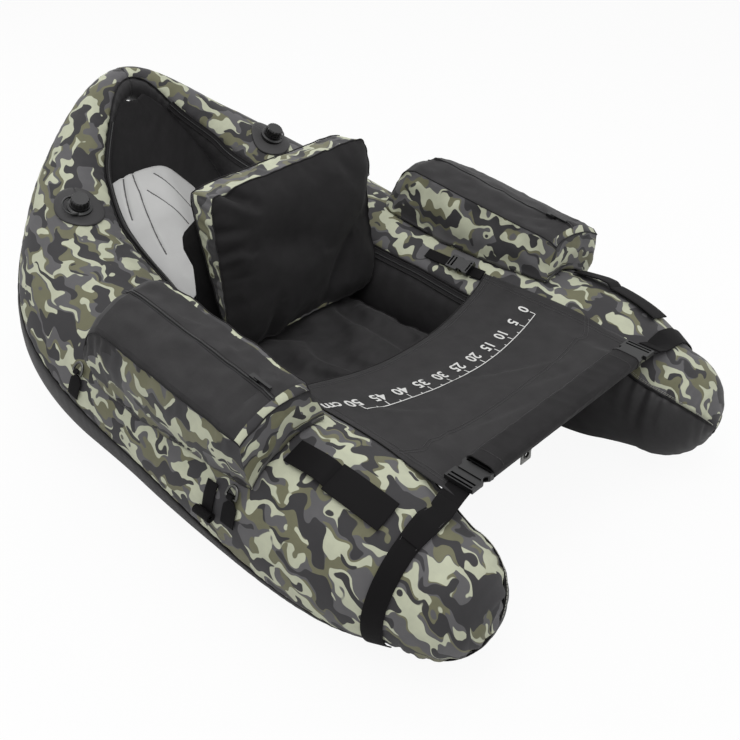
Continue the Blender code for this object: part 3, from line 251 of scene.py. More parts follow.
def add_node(tree, kind, settings=None, inputs=None, links=None):
    """One node with its settings, its plain inputs and the sockets that feed it."""
    item = tree.nodes.new(kind)
    for key, value in (settings or {}).items():
        setattr(item, key, value)
    for key, value in (inputs or {}).items():
        item.inputs[key].default_value = value
    for key, source in (links or {}).items():
        tree.links.new(source, item.inputs[key])
    return item


def new_material(name, colour, roughness, metallic=0.0, specular=0.5, **plain):
    """A material with a Principled shader, its tree and its shader."""
    material = bpy.data.materials.new(name)
    material.use_nodes = True
    tree = material.node_tree
    shader = tree.nodes["Principled BSDF"]
    shader.inputs["Base Color"].default_value = (*colour, 1)
    shader.inputs["Roughness"].default_value = roughness
    shader.inputs["Metallic"].default_value = metallic
    shader.inputs["Specular IOR Level"].default_value = specular
    for key, value in plain.items():
        shader.inputs[key.replace("_", " ").title()].default_value = value
    material.diffuse_color = (*colour, 1)
    return material, tree, shader


def mix(tree, share, first, second):
    item = add_node(tree, "ShaderNodeMix", {"data_type": "RGBA"})
    for value, socket in ((share, 0), (first, 6), (second, 7)):
        if isinstance(value, bpy.types.NodeSocket):
            tree.links.new(value, item.inputs[socket])
        else:
            item.inputs[socket].default_value = value
    return item.outputs[2]


def step_between(tree, value, low, high):
    """0 below low, 1 above high and a straight ramp between them."""
    item = add_node(tree, "ShaderNodeMapRange", {}, {"From Min": low, "From Max": high},
                    {"Value": value})
    return item.outputs["Result"]


def toned(tree, shader, share, colour, low, high):
    """The material's colour, from low times itself to high times itself."""
    dark, light = ((*[min(1, c * gain) for c in colour], 1) for gain in (low, high))
    tree.links.new(mix(tree, share, dark, light), shader.inputs["Base Color"])


def bump(tree, height, strength, distance, below=None):
    """Relief of a height socket, over the relief below it."""
    links = {"Height": height, "Normal": below} if below else {"Height": height}
    settings = {"Strength": strength, "Distance": distance}
    return add_node(tree, "ShaderNodeBump", {}, settings, links).outputs["Normal"]


def texture_place(tree, kind):
    return add_node(tree, "ShaderNodeTexCoord").outputs[kind]


def threads(tree, place, direction, pitch, distortion, detail=2.0):
    """Parallel threads or ribs at a pitch in metres."""
    return add_node(tree, "ShaderNodeTexWave", {"bands_direction": direction},
                    {"Scale": WAVE_UNIT / pitch, "Distortion": distortion, "Detail": detail},
                    {"Vector": place}).outputs["Fac"]


def weave(tree, shader, pitch, height, creasing=1.2 * MM):
    """Crossed threads and the creases of cloth as bump, drawn at the given pitch in metres."""
    place = texture_place(tree, "UV")
    warp, weft = (threads(tree, place, way, pitch, 0.6, 1.0) for way in ("X", "Y"))
    both = add_node(tree, "ShaderNodeMath", {"operation": "MULTIPLY"}, {}, {0: warp, 1: weft})
    crease = add_node(tree, "ShaderNodeTexNoise", {},
                      {"Scale": 1 / CREASE_SIZE, "Detail": 4.0, "Roughness": 0.6},
                      {"Vector": place}).outputs["Fac"]
    fine = bump(tree, both.outputs[0], 0.5, height)
    tree.links.new(bump(tree, crease, 0.35, creasing, fine), shader.inputs["Normal"])
    return place, crease


def camouflage_cloth():
    """600-denier polyester pack cloth, roller-printed: flat inks with crisp edges, a dull sheen
    from the coated back, threads 0.5 mm apart drawn at 1.4 mm so that they show."""
    tones = colours()
    material, tree, shader = new_material("printed_polyester_pack_cloth", tones.camo_grey, 0.70,
                                          specular=0.3, sheen_weight=0.05)
    place, crease = weave(tree, shader, 1.4 * MM, 0.08 * MM)
    sage, olive, grey, dark = ((*c, 1) for c in (tones.camo_light, tones.camo_olive,
                                                 tones.camo_grey, tones.camo_dark))
    # The blobs' outlines swing in lobes, which a finer noise gives by moving the place read.
    lobes = add_node(tree, "ShaderNodeTexNoise", {"noise_dimensions": "2D"}, {
        "Scale": 1 / LOBE_SIZE, "Detail": 0.0}, {"Vector": place})
    centred = add_node(tree, "ShaderNodeVectorMath", {"operation": "SUBTRACT"}, {
        1: (0.5, 0.5, 0.5)}, {0: lobes.outputs["Color"]})
    swing = add_node(tree, "ShaderNodeVectorMath", {"operation": "SCALE"}, {"Scale": LOBE_SWING},
                     {0: centred.outputs[0]})
    moved = add_node(tree, "ShaderNodeVectorMath", {"operation": "ADD"}, {}, {
        0: place, 1: swing.outputs[0]}).outputs[0]
    result = grey
    for ink, shift, level in ((olive, 3.1, 0.52), (sage, 12.9, 0.545), (dark, 7.7, 0.55)):
        turn = add_node(tree, "ShaderNodeMapping", {}, {
            "Location": (shift, shift * 0.7, 0), "Rotation": (0, 0, BLOB_TURN),
            "Scale": (1 / BLOB_SIZE[0], 1 / BLOB_SIZE[1], 1.0)}, {"Vector": moved})
        blobs = add_node(tree, "ShaderNodeTexNoise", {"noise_dimensions": "2D"}, {
            "Scale": 1.0, "Detail": 0.5, "Roughness": 0.35}, {"Vector": turn.outputs["Vector"]})
        edge = step_between(tree, blobs.outputs["Fac"], level, level + BLOB_EDGE)
        result = mix(tree, edge, result, ink)
    # The inks are painted lighter on the crests of the creases and darker in their folds: painted
    # highlight and painted shade.
    painted_crease_shade = mix(tree, step_between(tree, crease, 0.35, 0.9), (0.86, 0.86, 0.86, 1),
                (1.08, 1.08, 1.06, 1))
    tinted = add_node(tree, "ShaderNodeMix", {"data_type": "RGBA", "blend_type": "MULTIPLY"})
    tinted.inputs[0].default_value = 1.0
    tree.links.new(result, tinted.inputs[6])
    tree.links.new(painted_crease_shade, tinted.inputs[7])
    tree.links.new(tinted.outputs[2], shader.inputs["Base Color"])
    return material


def plain_cloth(name, colour, roughness, pitch, height, crease_shade_gain=0.22, creasing=1.2 * MM, **plain):
    """Woven cloth of one colour with creases, painted lighter on their crests and darker in their
    folds: painted highlight and painted shade.
    """
    material, tree, shader = new_material(name, colour, roughness, **plain)
    _, crease = weave(tree, shader, pitch, height, creasing=creasing)
    # Painted highlight on the creases' crests and painted shade in their folds.
    toned(tree, shader, step_between(tree, crease, 0.3, 0.75), colour, 1 - crease_shade_gain, 1 + crease_shade_gain)
    return material


def moulded(name, colour, roughness, grain):
    """Injection-moulded plastic: spark-eroded grain, soft highlights."""
    material, tree, shader = new_material(name, colour, roughness)
    place = texture_place(tree, "Object")
    spark = add_node(tree, "ShaderNodeTexNoise", {}, {"Scale": 1 / grain, "Detail": 2.0},
                     {"Vector": place})
    relief = bump(tree, spark.outputs["Fac"], 0.25, 0.1 * MM)
    tree.links.new(relief, shader.inputs["Normal"])
    return material


def webbing_cloth(name, colour):
    """Polypropylene webbing: ribs across the run, 1.6 mm apart, low and almost of one tone."""
    material, tree, shader = new_material(name, colour, 0.72, specular=0.11)
    place = texture_place(tree, "UV")
    ribs = threads(tree, place, "X", 1.6 * MM, 0.4)
    warp = threads(tree, place, "Y", 2.4 * MM, 1.0)
    both = add_node(tree, "ShaderNodeMath", {"operation": "ADD"}, {}, {0: ribs, 1: warp})
    tree.links.new(bump(tree, both.outputs[0], 0.4, 0.10 * MM), shader.inputs["Normal"])
    # The ribs' crests are painted lighter and the hollows between them darker: painted highlight
    # and painted shade.
    toned(tree, shader, step_between(tree, ribs, 0.2, 0.9), colour, 0.9, 1.2)
    return material


def brushed_metal(name, colour, roughness, stretch):
    """Drawn or plated metal with fine lines along its length."""
    material, tree, shader = new_material(name, colour, roughness, 1.0)
    place = texture_place(tree, "Object")
    turn = add_node(tree, "ShaderNodeMapping", {}, {"Scale": stretch}, {"Vector": place})
    lines = add_node(tree, "ShaderNodeTexNoise", {}, {"Scale": 1.0, "Detail": 3.0},
                     {"Vector": turn.outputs["Vector"]})
    relief = bump(tree, lines.outputs["Fac"], 0.15, 0.05 * MM)
    tree.links.new(relief, shader.inputs["Normal"])
    return material


FINISHES = {}


def make_finishes():
    tones = colours()
    FINISHES["camo"] = camouflage_cloth()
    # Black 600-denier pack cloth: matt, with painted highlights on the crests of its creases and
    # painted shade in their folds.
    FINISHES["black"] = plain_cloth("black_pack_cloth", tones.black_cloth, 0.72, 1.4 * MM,
                                    0.10 * MM, specular=0.16, sheen_weight=0.04)
    # Seat, apron and pocket tops are of the same cloth, painted lighter because they face up into
    # the light: a painted-highlight copy of the black pack cloth.
    FINISHES["painted_lit_black"] = plain_cloth("black_pack_cloth_painted_lit", linear("#2B2A2B"), 0.68, 1.4 * MM,
                                   0.10 * MM, specular=0.22, sheen_weight=0.06)
    # PVC-coated cloth: the coating fills the weave, so it is smoother and slightly glossy.
    FINISHES["hull"] = plain_cloth("pvc_coated_cloth", tones.hull_cloth, 0.50, 1.8 * MM,
                                   0.04 * MM, specular=0.25)
    FINISHES["grey"] = plain_cloth("grey_coated_cloth", tones.grey_sheet, 0.62, 1.4 * MM,
                                   0.04 * MM, crease_shade_gain=0.02, creasing=0.3 * MM)
    FINISHES["webbing"] = webbing_cloth("polypropylene_webbing", tones.webbing)
    FINISHES["grey_webbing"] = webbing_cloth("grey_woven_tab", linear("#8A8A88"))
    # Acetal from a spark-eroded mould: grain of about 0.4 mm, dull gloss.
    FINISHES["plastic"] = moulded("moulded_acetal", tones.plastic, 0.36, 0.4 * MM)
    FINISHES["rubber"] = moulded("valve_patch_pvc", linear("#262526"), 0.6, 0.8 * MM)
    FINISHES["nickel"] = brushed_metal("nickel_plated_wire", linear("#5E5E5C"), 0.34,
                                       (900.0, 900.0, 60.0))
    FINISHES["aluminium"] = brushed_metal("anodised_aluminium", linear("#9A9C9E"), 0.34,
                                          (20.0, 900.0, 900.0))
    FINISHES["ink"] = new_material("screen_print_ink", tones.ink, 0.55)[0]
    FINISHES["pale_thread"] = new_material("pale_polyester_thread", linear("#A9A99F"), 0.6)[0]
    FINISHES["thread"] = new_material("polyester_thread", linear("#4A494A"), 0.6)[0]


# Meshes

STITCH_SHARES = (0.12, 0.5, 0.88)    # where a stitch begins, bends and ends, along its pitch
THREAD_RADIUS = 0.45 * MM
FILL_FRAMES = 20
FILL_CLOTH = {"quality": 4, "mass": 0.3, "tension_stiffness": 18, "compression_stiffness": 18,
              "shear_stiffness": 8, "bending_stiffness": 0.4, "use_pressure": True}
FILL_SHRINK = 0.035          # of a pad's seams, which draws its sides in


def between(pair, share):
    return pair[0] + (pair[1] - pair[0]) * share


def clamp(value, low=0.0, high=1.0):
    return min(max(value, low), high)


def wander(x, y, z):
    """Smooth noise at a place, within -1 to 1."""
    return noise.noise(Vector((x, y, z)))


def circle(degrees, reach, lift=0.0):
    turn = math.radians(degrees)
    return Vector((reach * math.cos(turn), reach * math.sin(turn), lift))


def grid(down, across, point):
    """Rows of points from a function of two shares, down the rows and along a row."""
    return [[point(i / down, j / across) for j in range(across + 1)] for i in range(down + 1)]


def add_object(name, data, body="hull"):
    """An object in the scene that rides on a body."""
    item = bpy.data.objects.new(name, data)
    bpy.context.scene.collection.objects.link(item)
    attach(item, body)
    return item


def make_piece(name, points, faces, finishes, body="hull", corner_uvs=None, point_uvs=None,
               face_finishes=None, smooth=True):
    """A mesh object that rides on a body, with UVs in metres of cloth."""
    mesh = bpy.data.meshes.new(name)
    mesh.from_pydata([tuple(p) for p in points], [], [tuple(f) for f in faces])
    layer = mesh.uv_layers.new(name="cloth")
    if corner_uvs is None:
        if point_uvs is None:
            point_uvs = [(p[1], p[0] + p[2]) for p in points]
        loops = np.zeros(len(mesh.loops), np.int32)
        mesh.loops.foreach_get("vertex_index", loops)
        corner_uvs = np.array(point_uvs, float)[loops]
    layer.data.foreach_set("uv", np.array(corner_uvs, np.float32).ravel())
    for finish in finishes:
        mesh.materials.append(FINISHES[finish])
    if face_finishes is not None:
        mesh.polygons.foreach_set("material_index", np.array(face_finishes, np.int32))
    if smooth:
        mesh.shade_smooth()
    mesh.update()
    return add_object(name, mesh, body)


def grid_faces(rows, columns, closed=False):
    """Quads between rows of points; closed joins each row's end to its start."""
    faces = []
    for i in range(rows - 1):
        for j in range(columns if closed else columns - 1):
            a, b = i * columns + j, i * columns + (j + 1) % columns
            faces.append((a, b, b + columns, a + columns))
    return faces


def thicken(item, thickness, offset=-1.0):
    solid = item.modifiers.new("cloth", "SOLIDIFY")
    solid.thickness = thickness
    solid.offset = offset


def soften(item):
    """One subdivision rounds what is left of the grid."""
    soft = item.modifiers.new("soften", "SUBSURF")
    soft.levels = soft.render_levels = 1


def tubes(name, paths, radius, finish, slot, body="hull", closed=False, sides=3):
    """Round beads or threads along paths, as one piece; threads have no sides and no caps."""
    curve = bpy.data.curves.new(name, "CURVE")
    curve.dimensions = "3D"
    for path in paths:
        spline = curve.splines.new("POLY")
        spline.points.add(len(path) - 1)
        for point, place in zip(spline.points, path):
            point.co = (*place, 1)
        spline.use_cyclic_u = closed
    curve.bevel_depth = radius
    curve.bevel_resolution = sides
    curve.use_fill_caps = sides > 0
    curve.materials.append(FINISHES[finish])
    item = add_object(name, curve, body)
    return item


def stitches(name, paths, pitch=3.6 * MM, finish="thread"):
    """Rows of thread: short raised stitches with gaps between them."""
    sewn = []
    for path in paths:
        runs = arc(path)
        table = np.array([tuple(p) for p in path])
        for k in range(max(int(runs[-1] / pitch), 1)):
            sewn.append([[np.interp((k + share) * pitch, runs, table[:, n]) for n in range(3)]
                         for share in STITCH_SHARES])
    tubes(name, sewn, THREAD_RADIUS, finish, "black_polyester", sides=0)


def piping(name, path, radius, finish="black", slot="black_polyester", body="hull",
           closed=False):
    """A bound or piped edge, or a hem: a round bead along one path."""
    return tubes(name, [path], radius, finish, slot, body, closed)


def arc(points):
    """Distance along a row of points, at each of them."""
    runs = [0.0]
    for a, b in zip(points, points[1:]):
        runs.append(runs[-1] + (b - a).length)
    return runs


def cloth_grid(name, rows, finish, body="hull", thickness=1.0 * MM, offset=0.0):
    """A piece of cloth through a grid of points."""
    runs = arc([row[len(row) // 2] for row in rows])
    points, uvs = [], []
    for row, run in zip(rows, runs):
        points += row
        uvs += [(run, across) for across in arc(row)]
    faces = grid_faces(len(rows), len(rows[0]))
    area = Vector()
    for a, b, c, d in faces:
        area += (points[c] - points[a]).cross(points[d] - points[b])
    if area.z < 0:
        faces = [face[::-1] for face in faces]
    item = make_piece(name, points, faces, [finish], body, point_uvs=uvs)
    thicken(item, thickness, offset)
    return item


def on_grid(rows, down, across):
    """A point of a grid of cloth, at shares of its rows and of its columns."""
    i, j = down * (len(rows) - 1), across * (len(rows[0]) - 1)
    i0, j0 = min(int(i), len(rows) - 2), min(int(j), len(rows[0]) - 2)
    top = rows[i0][j0].lerp(rows[i0][j0 + 1], j - j0)
    low = rows[i0 + 1][j0].lerp(rows[i0 + 1][j0 + 1], j - j0)
    return top.lerp(low, i - i0)


def declare(rows, spare=1.0):
    """Works out the flat width and length of a grid of cloth and keeps neither; spare is what the
    gathers take up.
    """
    width = max(arc(row)[-1] for row in rows) * spare
    length = max(arc([row[j] for row in rows])[-1] for j in range(0, len(rows[0]), 4))
    for a, b in zip(rows, rows[1:]):
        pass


def band(rows, name, finish="webbing", thickness=None, body="hull",
         points_across=5):
    """Webbing through rows of (centre, half-width vector, normal), with UVs along its run."""
    thickness = thickness or sizes().webbing
    runs = arc([row[0] for row in rows])
    points, uvs = [], []
    for (centre, half, normal), run in zip(rows, runs):
        for k in range(points_across):
            t = 2 * k / (points_across - 1) - 1
            points.append(centre + half * t + normal * thickness / 2)
            uvs.append((run, t * half.length))
    faces = grid_faces(len(rows), points_across)
    item = make_piece(name, points, faces, [finish], body, point_uvs=uvs)
    thicken(item, thickness, 0.0)
    edge = item.modifiers.new("edge", "BEVEL")
    edge.width = thickness * 0.3
    edge.segments = 2
    edge.limit_method = "ANGLE"
    return item


def boxed(name, xs, ys, zs, shape, finishes, finish_of, body="hull", side=1, spans=(1, 1, 1)):
    """A closed skin of quads over a lattice in metres, which shape bends into its real form.

    Gives the object and the point number of each place of the lattice."""
    lattice = (xs, ys, zs)
    last = [len(line) - 1 for line in lattice]
    index, points, faces, uvs, kinds = {}, [], [], [], []

    def quad(axis, a, b, end, p, q):
        face, corner_uvs = [], []
        first, second = (b, a) if axis == 2 else (a, b)
        for dp, dq in ((0, 0), (1, 0), (1, 1), (0, 1)):
            key = [0, 0, 0]
            key[axis], key[a], key[b] = end, p + dp, q + dq
            key = tuple(key)
            if key not in index:
                index[key] = len(points)
                points.append(shape(*(lattice[n][key[n]] for n in range(3))))
            face.append(index[key])
            corner_uvs.append((lattice[first][key[first]] * spans[first] + axis + end,
                               lattice[second][key[second]] * spans[second]))
        return face, corner_uvs

    for axis in range(3):
        a, b = [n for n in range(3) if n != axis]
        for end in (0, last[axis]):
            turned = ((end == 0) != (axis == 1)) != (side < 0)
            for p in range(last[a]):
                for q in range(last[b]):
                    face, corner_uvs = quad(axis, a, b, end, p, q)
                    faces.append(face[::-1] if turned else face)
                    uvs += corner_uvs[::-1] if turned else corner_uvs
                    centre = [0, 0, 0]
                    centre[axis] = lattice[axis][end]
                    centre[a] = (lattice[a][p] + lattice[a][p + 1]) / 2
                    centre[b] = (lattice[b][q] + lattice[b][q + 1]) / 2
                    kinds.append(finish_of(axis, end > 0, centre))
    item = make_piece(name, points, faces, finishes, body, corner_uvs=uvs, face_finishes=kinds)
    return item, index


def steps(low, high, spacing, *stops):
    """Evenly spaced values from low to high that also meet each stop."""
    marks = [low, *sorted(stops), high]
    spacing = spacing * 1
    values = [low]
    for a, b in zip(marks, marks[1:]):
        count = max(1, round((b - a) / spacing))
        values += [a + (b - a) * k / count for k in range(1, count)] + [b]
    return values


def read_points(mesh):
    flat = np.empty(len(mesh.vertices) * 3, np.float32)
    mesh.vertices.foreach_get("co", flat)
    return flat.reshape(-1, 3).astype(float)


def fill(item, pressure, limit, seam, held=()):
    """Fills a closed skin by cloth simulation and keeps the result in its mesh."""
    scene = bpy.context.scene
    rest = read_points(item.data)
    cloth = item.modifiers.new("fill", "CLOTH")
    settings = cloth.settings
    for key, value in FILL_CLOTH.items():
        setattr(settings, key, value)
    settings.uniform_pressure_force = pressure
    settings.effector_weights.gravity = 0
    cloth.collision_settings.use_collision = False
    item.vertex_groups.new(name="seam").add(list(seam), 1.0, "REPLACE")
    settings.vertex_group_shrink = "seam"
    settings.shrink_max = FILL_SHRINK
    if held:
        item.vertex_groups.new(name="held").add(list(held), 1.0, "REPLACE")
        settings.vertex_group_mass = "held"
    cloth.point_cache.frame_start = 1
    cloth.point_cache.frame_end = FILL_FRAMES
    for number in range(1, FILL_FRAMES + 1):
        scene.frame_set(number)
    filled = item.evaluated_get(bpy.context.evaluated_depsgraph_get())
    move = read_points(filled.data) - rest
    length = np.linalg.norm(move, axis=1, keepdims=True)
    move *= limit * (1 - np.exp(-length / limit)) / np.maximum(length, 1e-9)
    item.modifiers.remove(cloth)
    item.vertex_groups.clear()
    item.data.vertices.foreach_set("co", (rest + move).astype(np.float32).ravel())
    item.data.update()
    scene.frame_set(1)


def crumple(item, height, scale, seed):
    """Creases of loose cloth, pressed in between sharp crests."""
    moved = []
    for vertex in item.data.vertices:
        place = Vector([c * k for c, k in zip(vertex.co, scale)]) + Vector((seed, 0, 0))
        crease = abs(noise.noise(place)) + 0.5 * abs(noise.noise(place * 2.3))
        moved.append(vertex.co - vertex.normal * height * min(crease * 1.8, 1.2))
    for vertex, place in zip(item.data.vertices, moved):
        vertex.co = place
    item.data.update()


def perimeter(index, xs, ys, level):
    """Point numbers round the upper or lower edge of a lattice's box."""
    nx, ny = len(xs) - 1, len(ys) - 1
    keys = [(i, 0, level) for i in range(nx)]
    keys += [(nx, j, level) for j in range(ny)]
    keys += [(i, ny, level) for i in range(nx, 0, -1)]
    keys += [(0, j, level) for j in range(ny, 0, -1)]
    return [index[key] for key in keys]


def edge_path(item, numbers):
    return [item.data.vertices[k].co.copy() for k in numbers]


def crease_off(x, y, ends):
    """How far a place is from a crease, and how far along it, 0 to 1."""
    ax, ay, bx, by = ends
    dx, dy = bx - ax, by - ay
    t = clamp(((x - ax) * dx + (y - ay) * dy) / (dx * dx + dy * dy))
    off = math.hypot(x - ax - dx * t, y - ay - dy * t)
    turn = (x - ax) * dy - (y - ay) * dx
    return math.copysign(off, turn), t


def dress(name, finish):
    """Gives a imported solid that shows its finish."""
    for slot in bpy.data.objects[name].material_slots:
        slot.material = FINISHES[finish]


# The hull as a surface

SEAM_RADIUS = 1.7 * MM
SEAM_SINK = 3.5 * MM
GATHERS = ((0.0, 0.034), (5.0, 0.027))     # seed and spacing, at the outer and inner seam
GATHER_REACH = (0.030, 0.030, 0.012)       # along the tube, and more at its nose and its bow
GATHER_GAIN = (3.0, 0.7)                   # how much higher at the nose and at the bow
GATHER_SLANT = 0.15
NOSE_FADE = 0.30                           # in stations
BOW_STATIONS = (3.2, 4.4)
SEAM_GROOVE = (0.0030, 0.006)              # depth and width
COVER_INSET = 0.0007
COVER_SWELL = 0.0016
COVER_FOLD = 0.0022
COVER_ARC = 2.9                            # radians that its columns are spaced for
PALE_SEAM_DEGREES = (-2.2, -3.6)           # pale stitching, from the inner seam
PALE_SEAM_STATIONS = (-0.90, 0.40)
PALE_SEAM_SINK = 1.2 * MM


def blend_rows(table, place):
    """A row between the stations of a table, on a smooth curve through them."""
    index = clamp(math.floor(place), 0, LAST - 1)
    t = place - index
    before = table[index - 1] if index else [2 * a - b for a, b in zip(table[0], table[1])]
    if index + 2 <= LAST:
        after = table[index + 2]
    else:
        after = [-table[LAST - 1][0]] + list(table[LAST - 1][1:])
    return [0.5 * (2 * b + (c - a) * t + (2 * a - 5 * b + 4 * c - d) * t * t
                   + (3 * b - a - 3 * c + d) * t ** 3)
            for a, b, c, d in zip(before, table[index], table[index + 1], after)]


def axis_point(place):
    """Centre and radius of the left pontoon at a station."""
    out, along, lift, thick = blend_rows(STATION_SHARES, place)
    radius = thick * TUBE_RADIUS
    height = lift * BOW_HEIGHT + radius * math.cos(math.radians(FOOT_HALF_ANGLE))
    return Vector((out * AXLE_TRACK, along * HULL_LENGTH, height)), radius


SECTIONS = {}


def section(place):
    """Centre, radius and the outward, upward and lengthwise directions of the left pontoon."""
    key = round(place, 6)
    if key not in SECTIONS:
        centre, radius = axis_point(max(place, 0.0))
        ahead, _ = axis_point(min(max(place, 0.0) + STATION_STEP, LAST))
        behind, _ = axis_point(max(min(place, LAST) - STATION_STEP, 0.0))
        along = (ahead - behind).normalized()
        if place >= LAST:
            along = Vector((-1, 0, 0))
        outward = along.cross(Vector((0, 0, 1))).normalized()
        upward = outward.cross(along).normalized()
        SECTIONS[key] = (centre, radius, outward, upward, along)
    return SECTIONS[key]


def seam_angle(degrees, place):
    last = len(degrees) - 1
    place = place * last / LAST
    index = min(max(int(place), 0), last - 1)
    t = clamp(place - index)
    t = t * t * (3 - 2 * t)
    return degrees[index] + (degrees[index + 1] - degrees[index]) * t


def skin(place, angle, rise=0.0):
    """A point of the left pontoon: angle 0 is outward, 90 up and 180 inward."""
    centre, radius, outward, upward, along = section(place)
    reach = radius + rise
    if place < 0:
        turn = math.radians(90 * -place)
        centre = centre - along * reach * math.sin(turn)
        reach = reach * math.cos(turn)
    turn = math.radians(angle)
    point = centre + (outward * math.cos(turn) + upward * math.sin(turn)) * reach
    point.z = max(point.z, FLOOR_GAP - rise)
    point.x = max(point.x, 0.0)
    return point


def skin_slope(place, angle):
    ahead, behind = min(place + STATION_STEP, LAST), max(place - STATION_STEP, 0.0)
    return (skin(ahead, angle) - skin(behind, angle)) / (ahead - behind)


def skin_normal(place, angle):
    around = skin(place, angle + 1) - skin(place, angle - 1)
    return skin_slope(place, angle).cross(around).normalized()


def near_skin(place, angle, along, across, rise):
    """A point off the skin, at distances along and across from a place on it."""
    place = place + along / skin_slope(place, angle).length
    angle = angle + math.degrees(across / section(place)[1])
    return skin(place, angle) + skin_normal(place, angle) * rise


def place_at(y):
    """The station whose centre has this y."""
    low, high = 0.0, float(LAST)
    for _ in range(30):
        middle = (low + high) / 2
        if axis_point(middle)[0].y < y:
            low = middle
        else:
            high = middle
    return (low + high) / 2


def hull_frame(place, angle, rise):
    """Axes of a fitting on the skin: x along the tube and z outward."""
    normal = skin_normal(place, angle)
    x_axis = skin_slope(place, angle).normalized()
    x_axis = (x_axis - normal * x_axis.dot(normal)).normalized()
    turned = Matrix((x_axis, normal.cross(x_axis), normal)).transposed().to_4x4()
    turned.translation = skin(place, angle) + normal * rise
    return turned


def mirror(point, side):
    return Vector((point.x * side, point.y, point.z))


def fine_places(spacing):
    """Station numbers from the tip to the bow, evenly spaced along the cloth."""
    nose = max(6, int(section(0)[1] * math.pi / 2 / spacing))
    places = [-1 + k / nose for k in range(nose)]
    coarse = [k / 200 * LAST for k in range(201)]
    runs = arc([axis_point(place)[0] for place in coarse])
    count = int(runs[-1] / spacing)
    return places + [float(np.interp(runs[-1] * k / count, runs, coarse))
                     for k in range(count + 1)]


def ripple(u, seed, period):
    """Uneven gathers along a seam: 0 on the crests and -1 in the folds."""
    shift = wander(u / period * 0.37, seed, 0.0) * 2.2
    wave = math.sin(2 * math.pi * u / period + shift * 2.5)
    size = 0.55 + 0.6 * wander(u / period * 0.21, seed + 7.0, 3.0)
    return -max(size, 0.12) * (0.5 - 0.5 * wave) ** 1.4


def cover_rise(u, v, to_outer, to_inner, place, seed):
    """How far the cover lies inside the taut hull at one point, in metres."""
    height = sizes().pucker
    nose = math.exp(-max(place, 0) / NOSE_FADE) if place > -0.75 else max(0.0, (place + 1) * 4)
    bow = clamp((place - BOW_STATIONS[0]) / (BOW_STATIONS[1] - BOW_STATIONS[0]))
    reach = GATHER_REACH[0] + GATHER_REACH[1] * nose + GATHER_REACH[2] * bow
    rise = -COVER_INSET
    for distance, (shift, period) in zip((to_outer, to_inner), GATHERS):
        fade = math.exp(-distance / reach)
        gather = ripple(u + GATHER_SLANT * distance, seed + shift, period)
        rise += height * (1 + GATHER_GAIN[0] * nose + GATHER_GAIN[1] * bow) * fade * gather
        rise -= SEAM_GROOVE[0] * math.exp(-(distance / SEAM_GROOVE[1]) ** 2)
    soft = wander(u * 5.0, v * 8.0, seed)
    long_fold = wander(u * 2.3 + v * 9.0, v * 14.0, seed + 3.0)
    return rise + COVER_SWELL * (soft - 0.5) + COVER_FOLD * min(long_fold - 0.1, 0.0)


def make_cover(name, side, angles_at, finish, shift, replaced):
    """A fine cover from seam to seam, with gathers along its seams."""
    spacing = sizes().grid * 1
    columns = int(COVER_ARC * TUBE_RADIUS / spacing)
    uvs, rows = [], []
    u = 0.0
    last = skin(-1, 90)
    for place in fine_places(spacing):
        first, end = angles_at(place)
        ring = section(place)[1] * math.cos(math.radians(90 * max(-place, 0)))
        here = skin(place, 90) if place > -1 else last
        u += (here - last).length
        last = here
        row = []
        for j in range(columns + 1):
            angle = first + (end - first) * j / columns
            turn, to_outer, to_inner = (math.radians(degrees) * ring for degrees in (
                angle - 90, angle - first, end - angle))
            rise = cover_rise(u, turn, to_outer, to_inner, place, side * 2.0 + shift)
            if place < -0.9:
                rise *= (place + 1) * 10
            row.append(mirror(skin(place, angle, rise), side))
            uvs.append((u + shift * 3 + side, turn * side))
        rows.append(row)
    faces = grid_faces(len(rows), columns + 1)
    if side > 0:
        faces = [f[::-1] for f in faces]
    item = make_piece(name, sum(rows, []), faces, [finish], point_uvs=uvs)
    thicken(item, 1.0 * MM)
    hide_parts(*replaced)
    declare(rows)


def upper_range(place):
    return seam_angle(OUTER_SEAM_DEGREES, place), seam_angle(INNER_SEAM_DEGREES, place)


def lower_range(place):
    outer, inner = upper_range(place)
    return inner, 360 + outer


class FLOATTUBE_OT_hull(bpy.types.Operator):
    """Camouflage upper covers and black lower covers, gathered along their seams"""
    bl_idname = "float_tube.hull"
    bl_label = "Hull covers"

    def execute(self, context):
        for side, word in SIDES:
            make_cover("hull_camouflage_" + word, side, upper_range, "camo",
                       1.3, ["upper_cover_" + word, "bladder_" + word])
            make_cover("hull_underside_" + word, side, lower_range, "hull", 4.1,
                       ["lower_cover_" + word])
            for degrees, label in ((OUTER_SEAM_DEGREES, "outer"), (INNER_SEAM_DEGREES, "inner")):
                path = [mirror(skin(place, seam_angle(degrees, place), -SEAM_SINK), side)
                        for place in fine_places(0.012) if place > -0.99]
                piping("seam_%s_%s" % (label, word), path, SEAM_RADIUS)
            lines = []
            for beside in PALE_SEAM_DEGREES:
                places = [between(PALE_SEAM_STATIONS, k / 60) for k in range(61)]
                lines.append([mirror(skin(place, seam_angle(INNER_SEAM_DEGREES, place) + beside,
                                          -PALE_SEAM_SINK), side) for place in places])
            stitches("nose_stitching_" + word, lines, pitch=6.0 * MM, finish="pale_thread")
        return {"FINISHED"}


# Pads

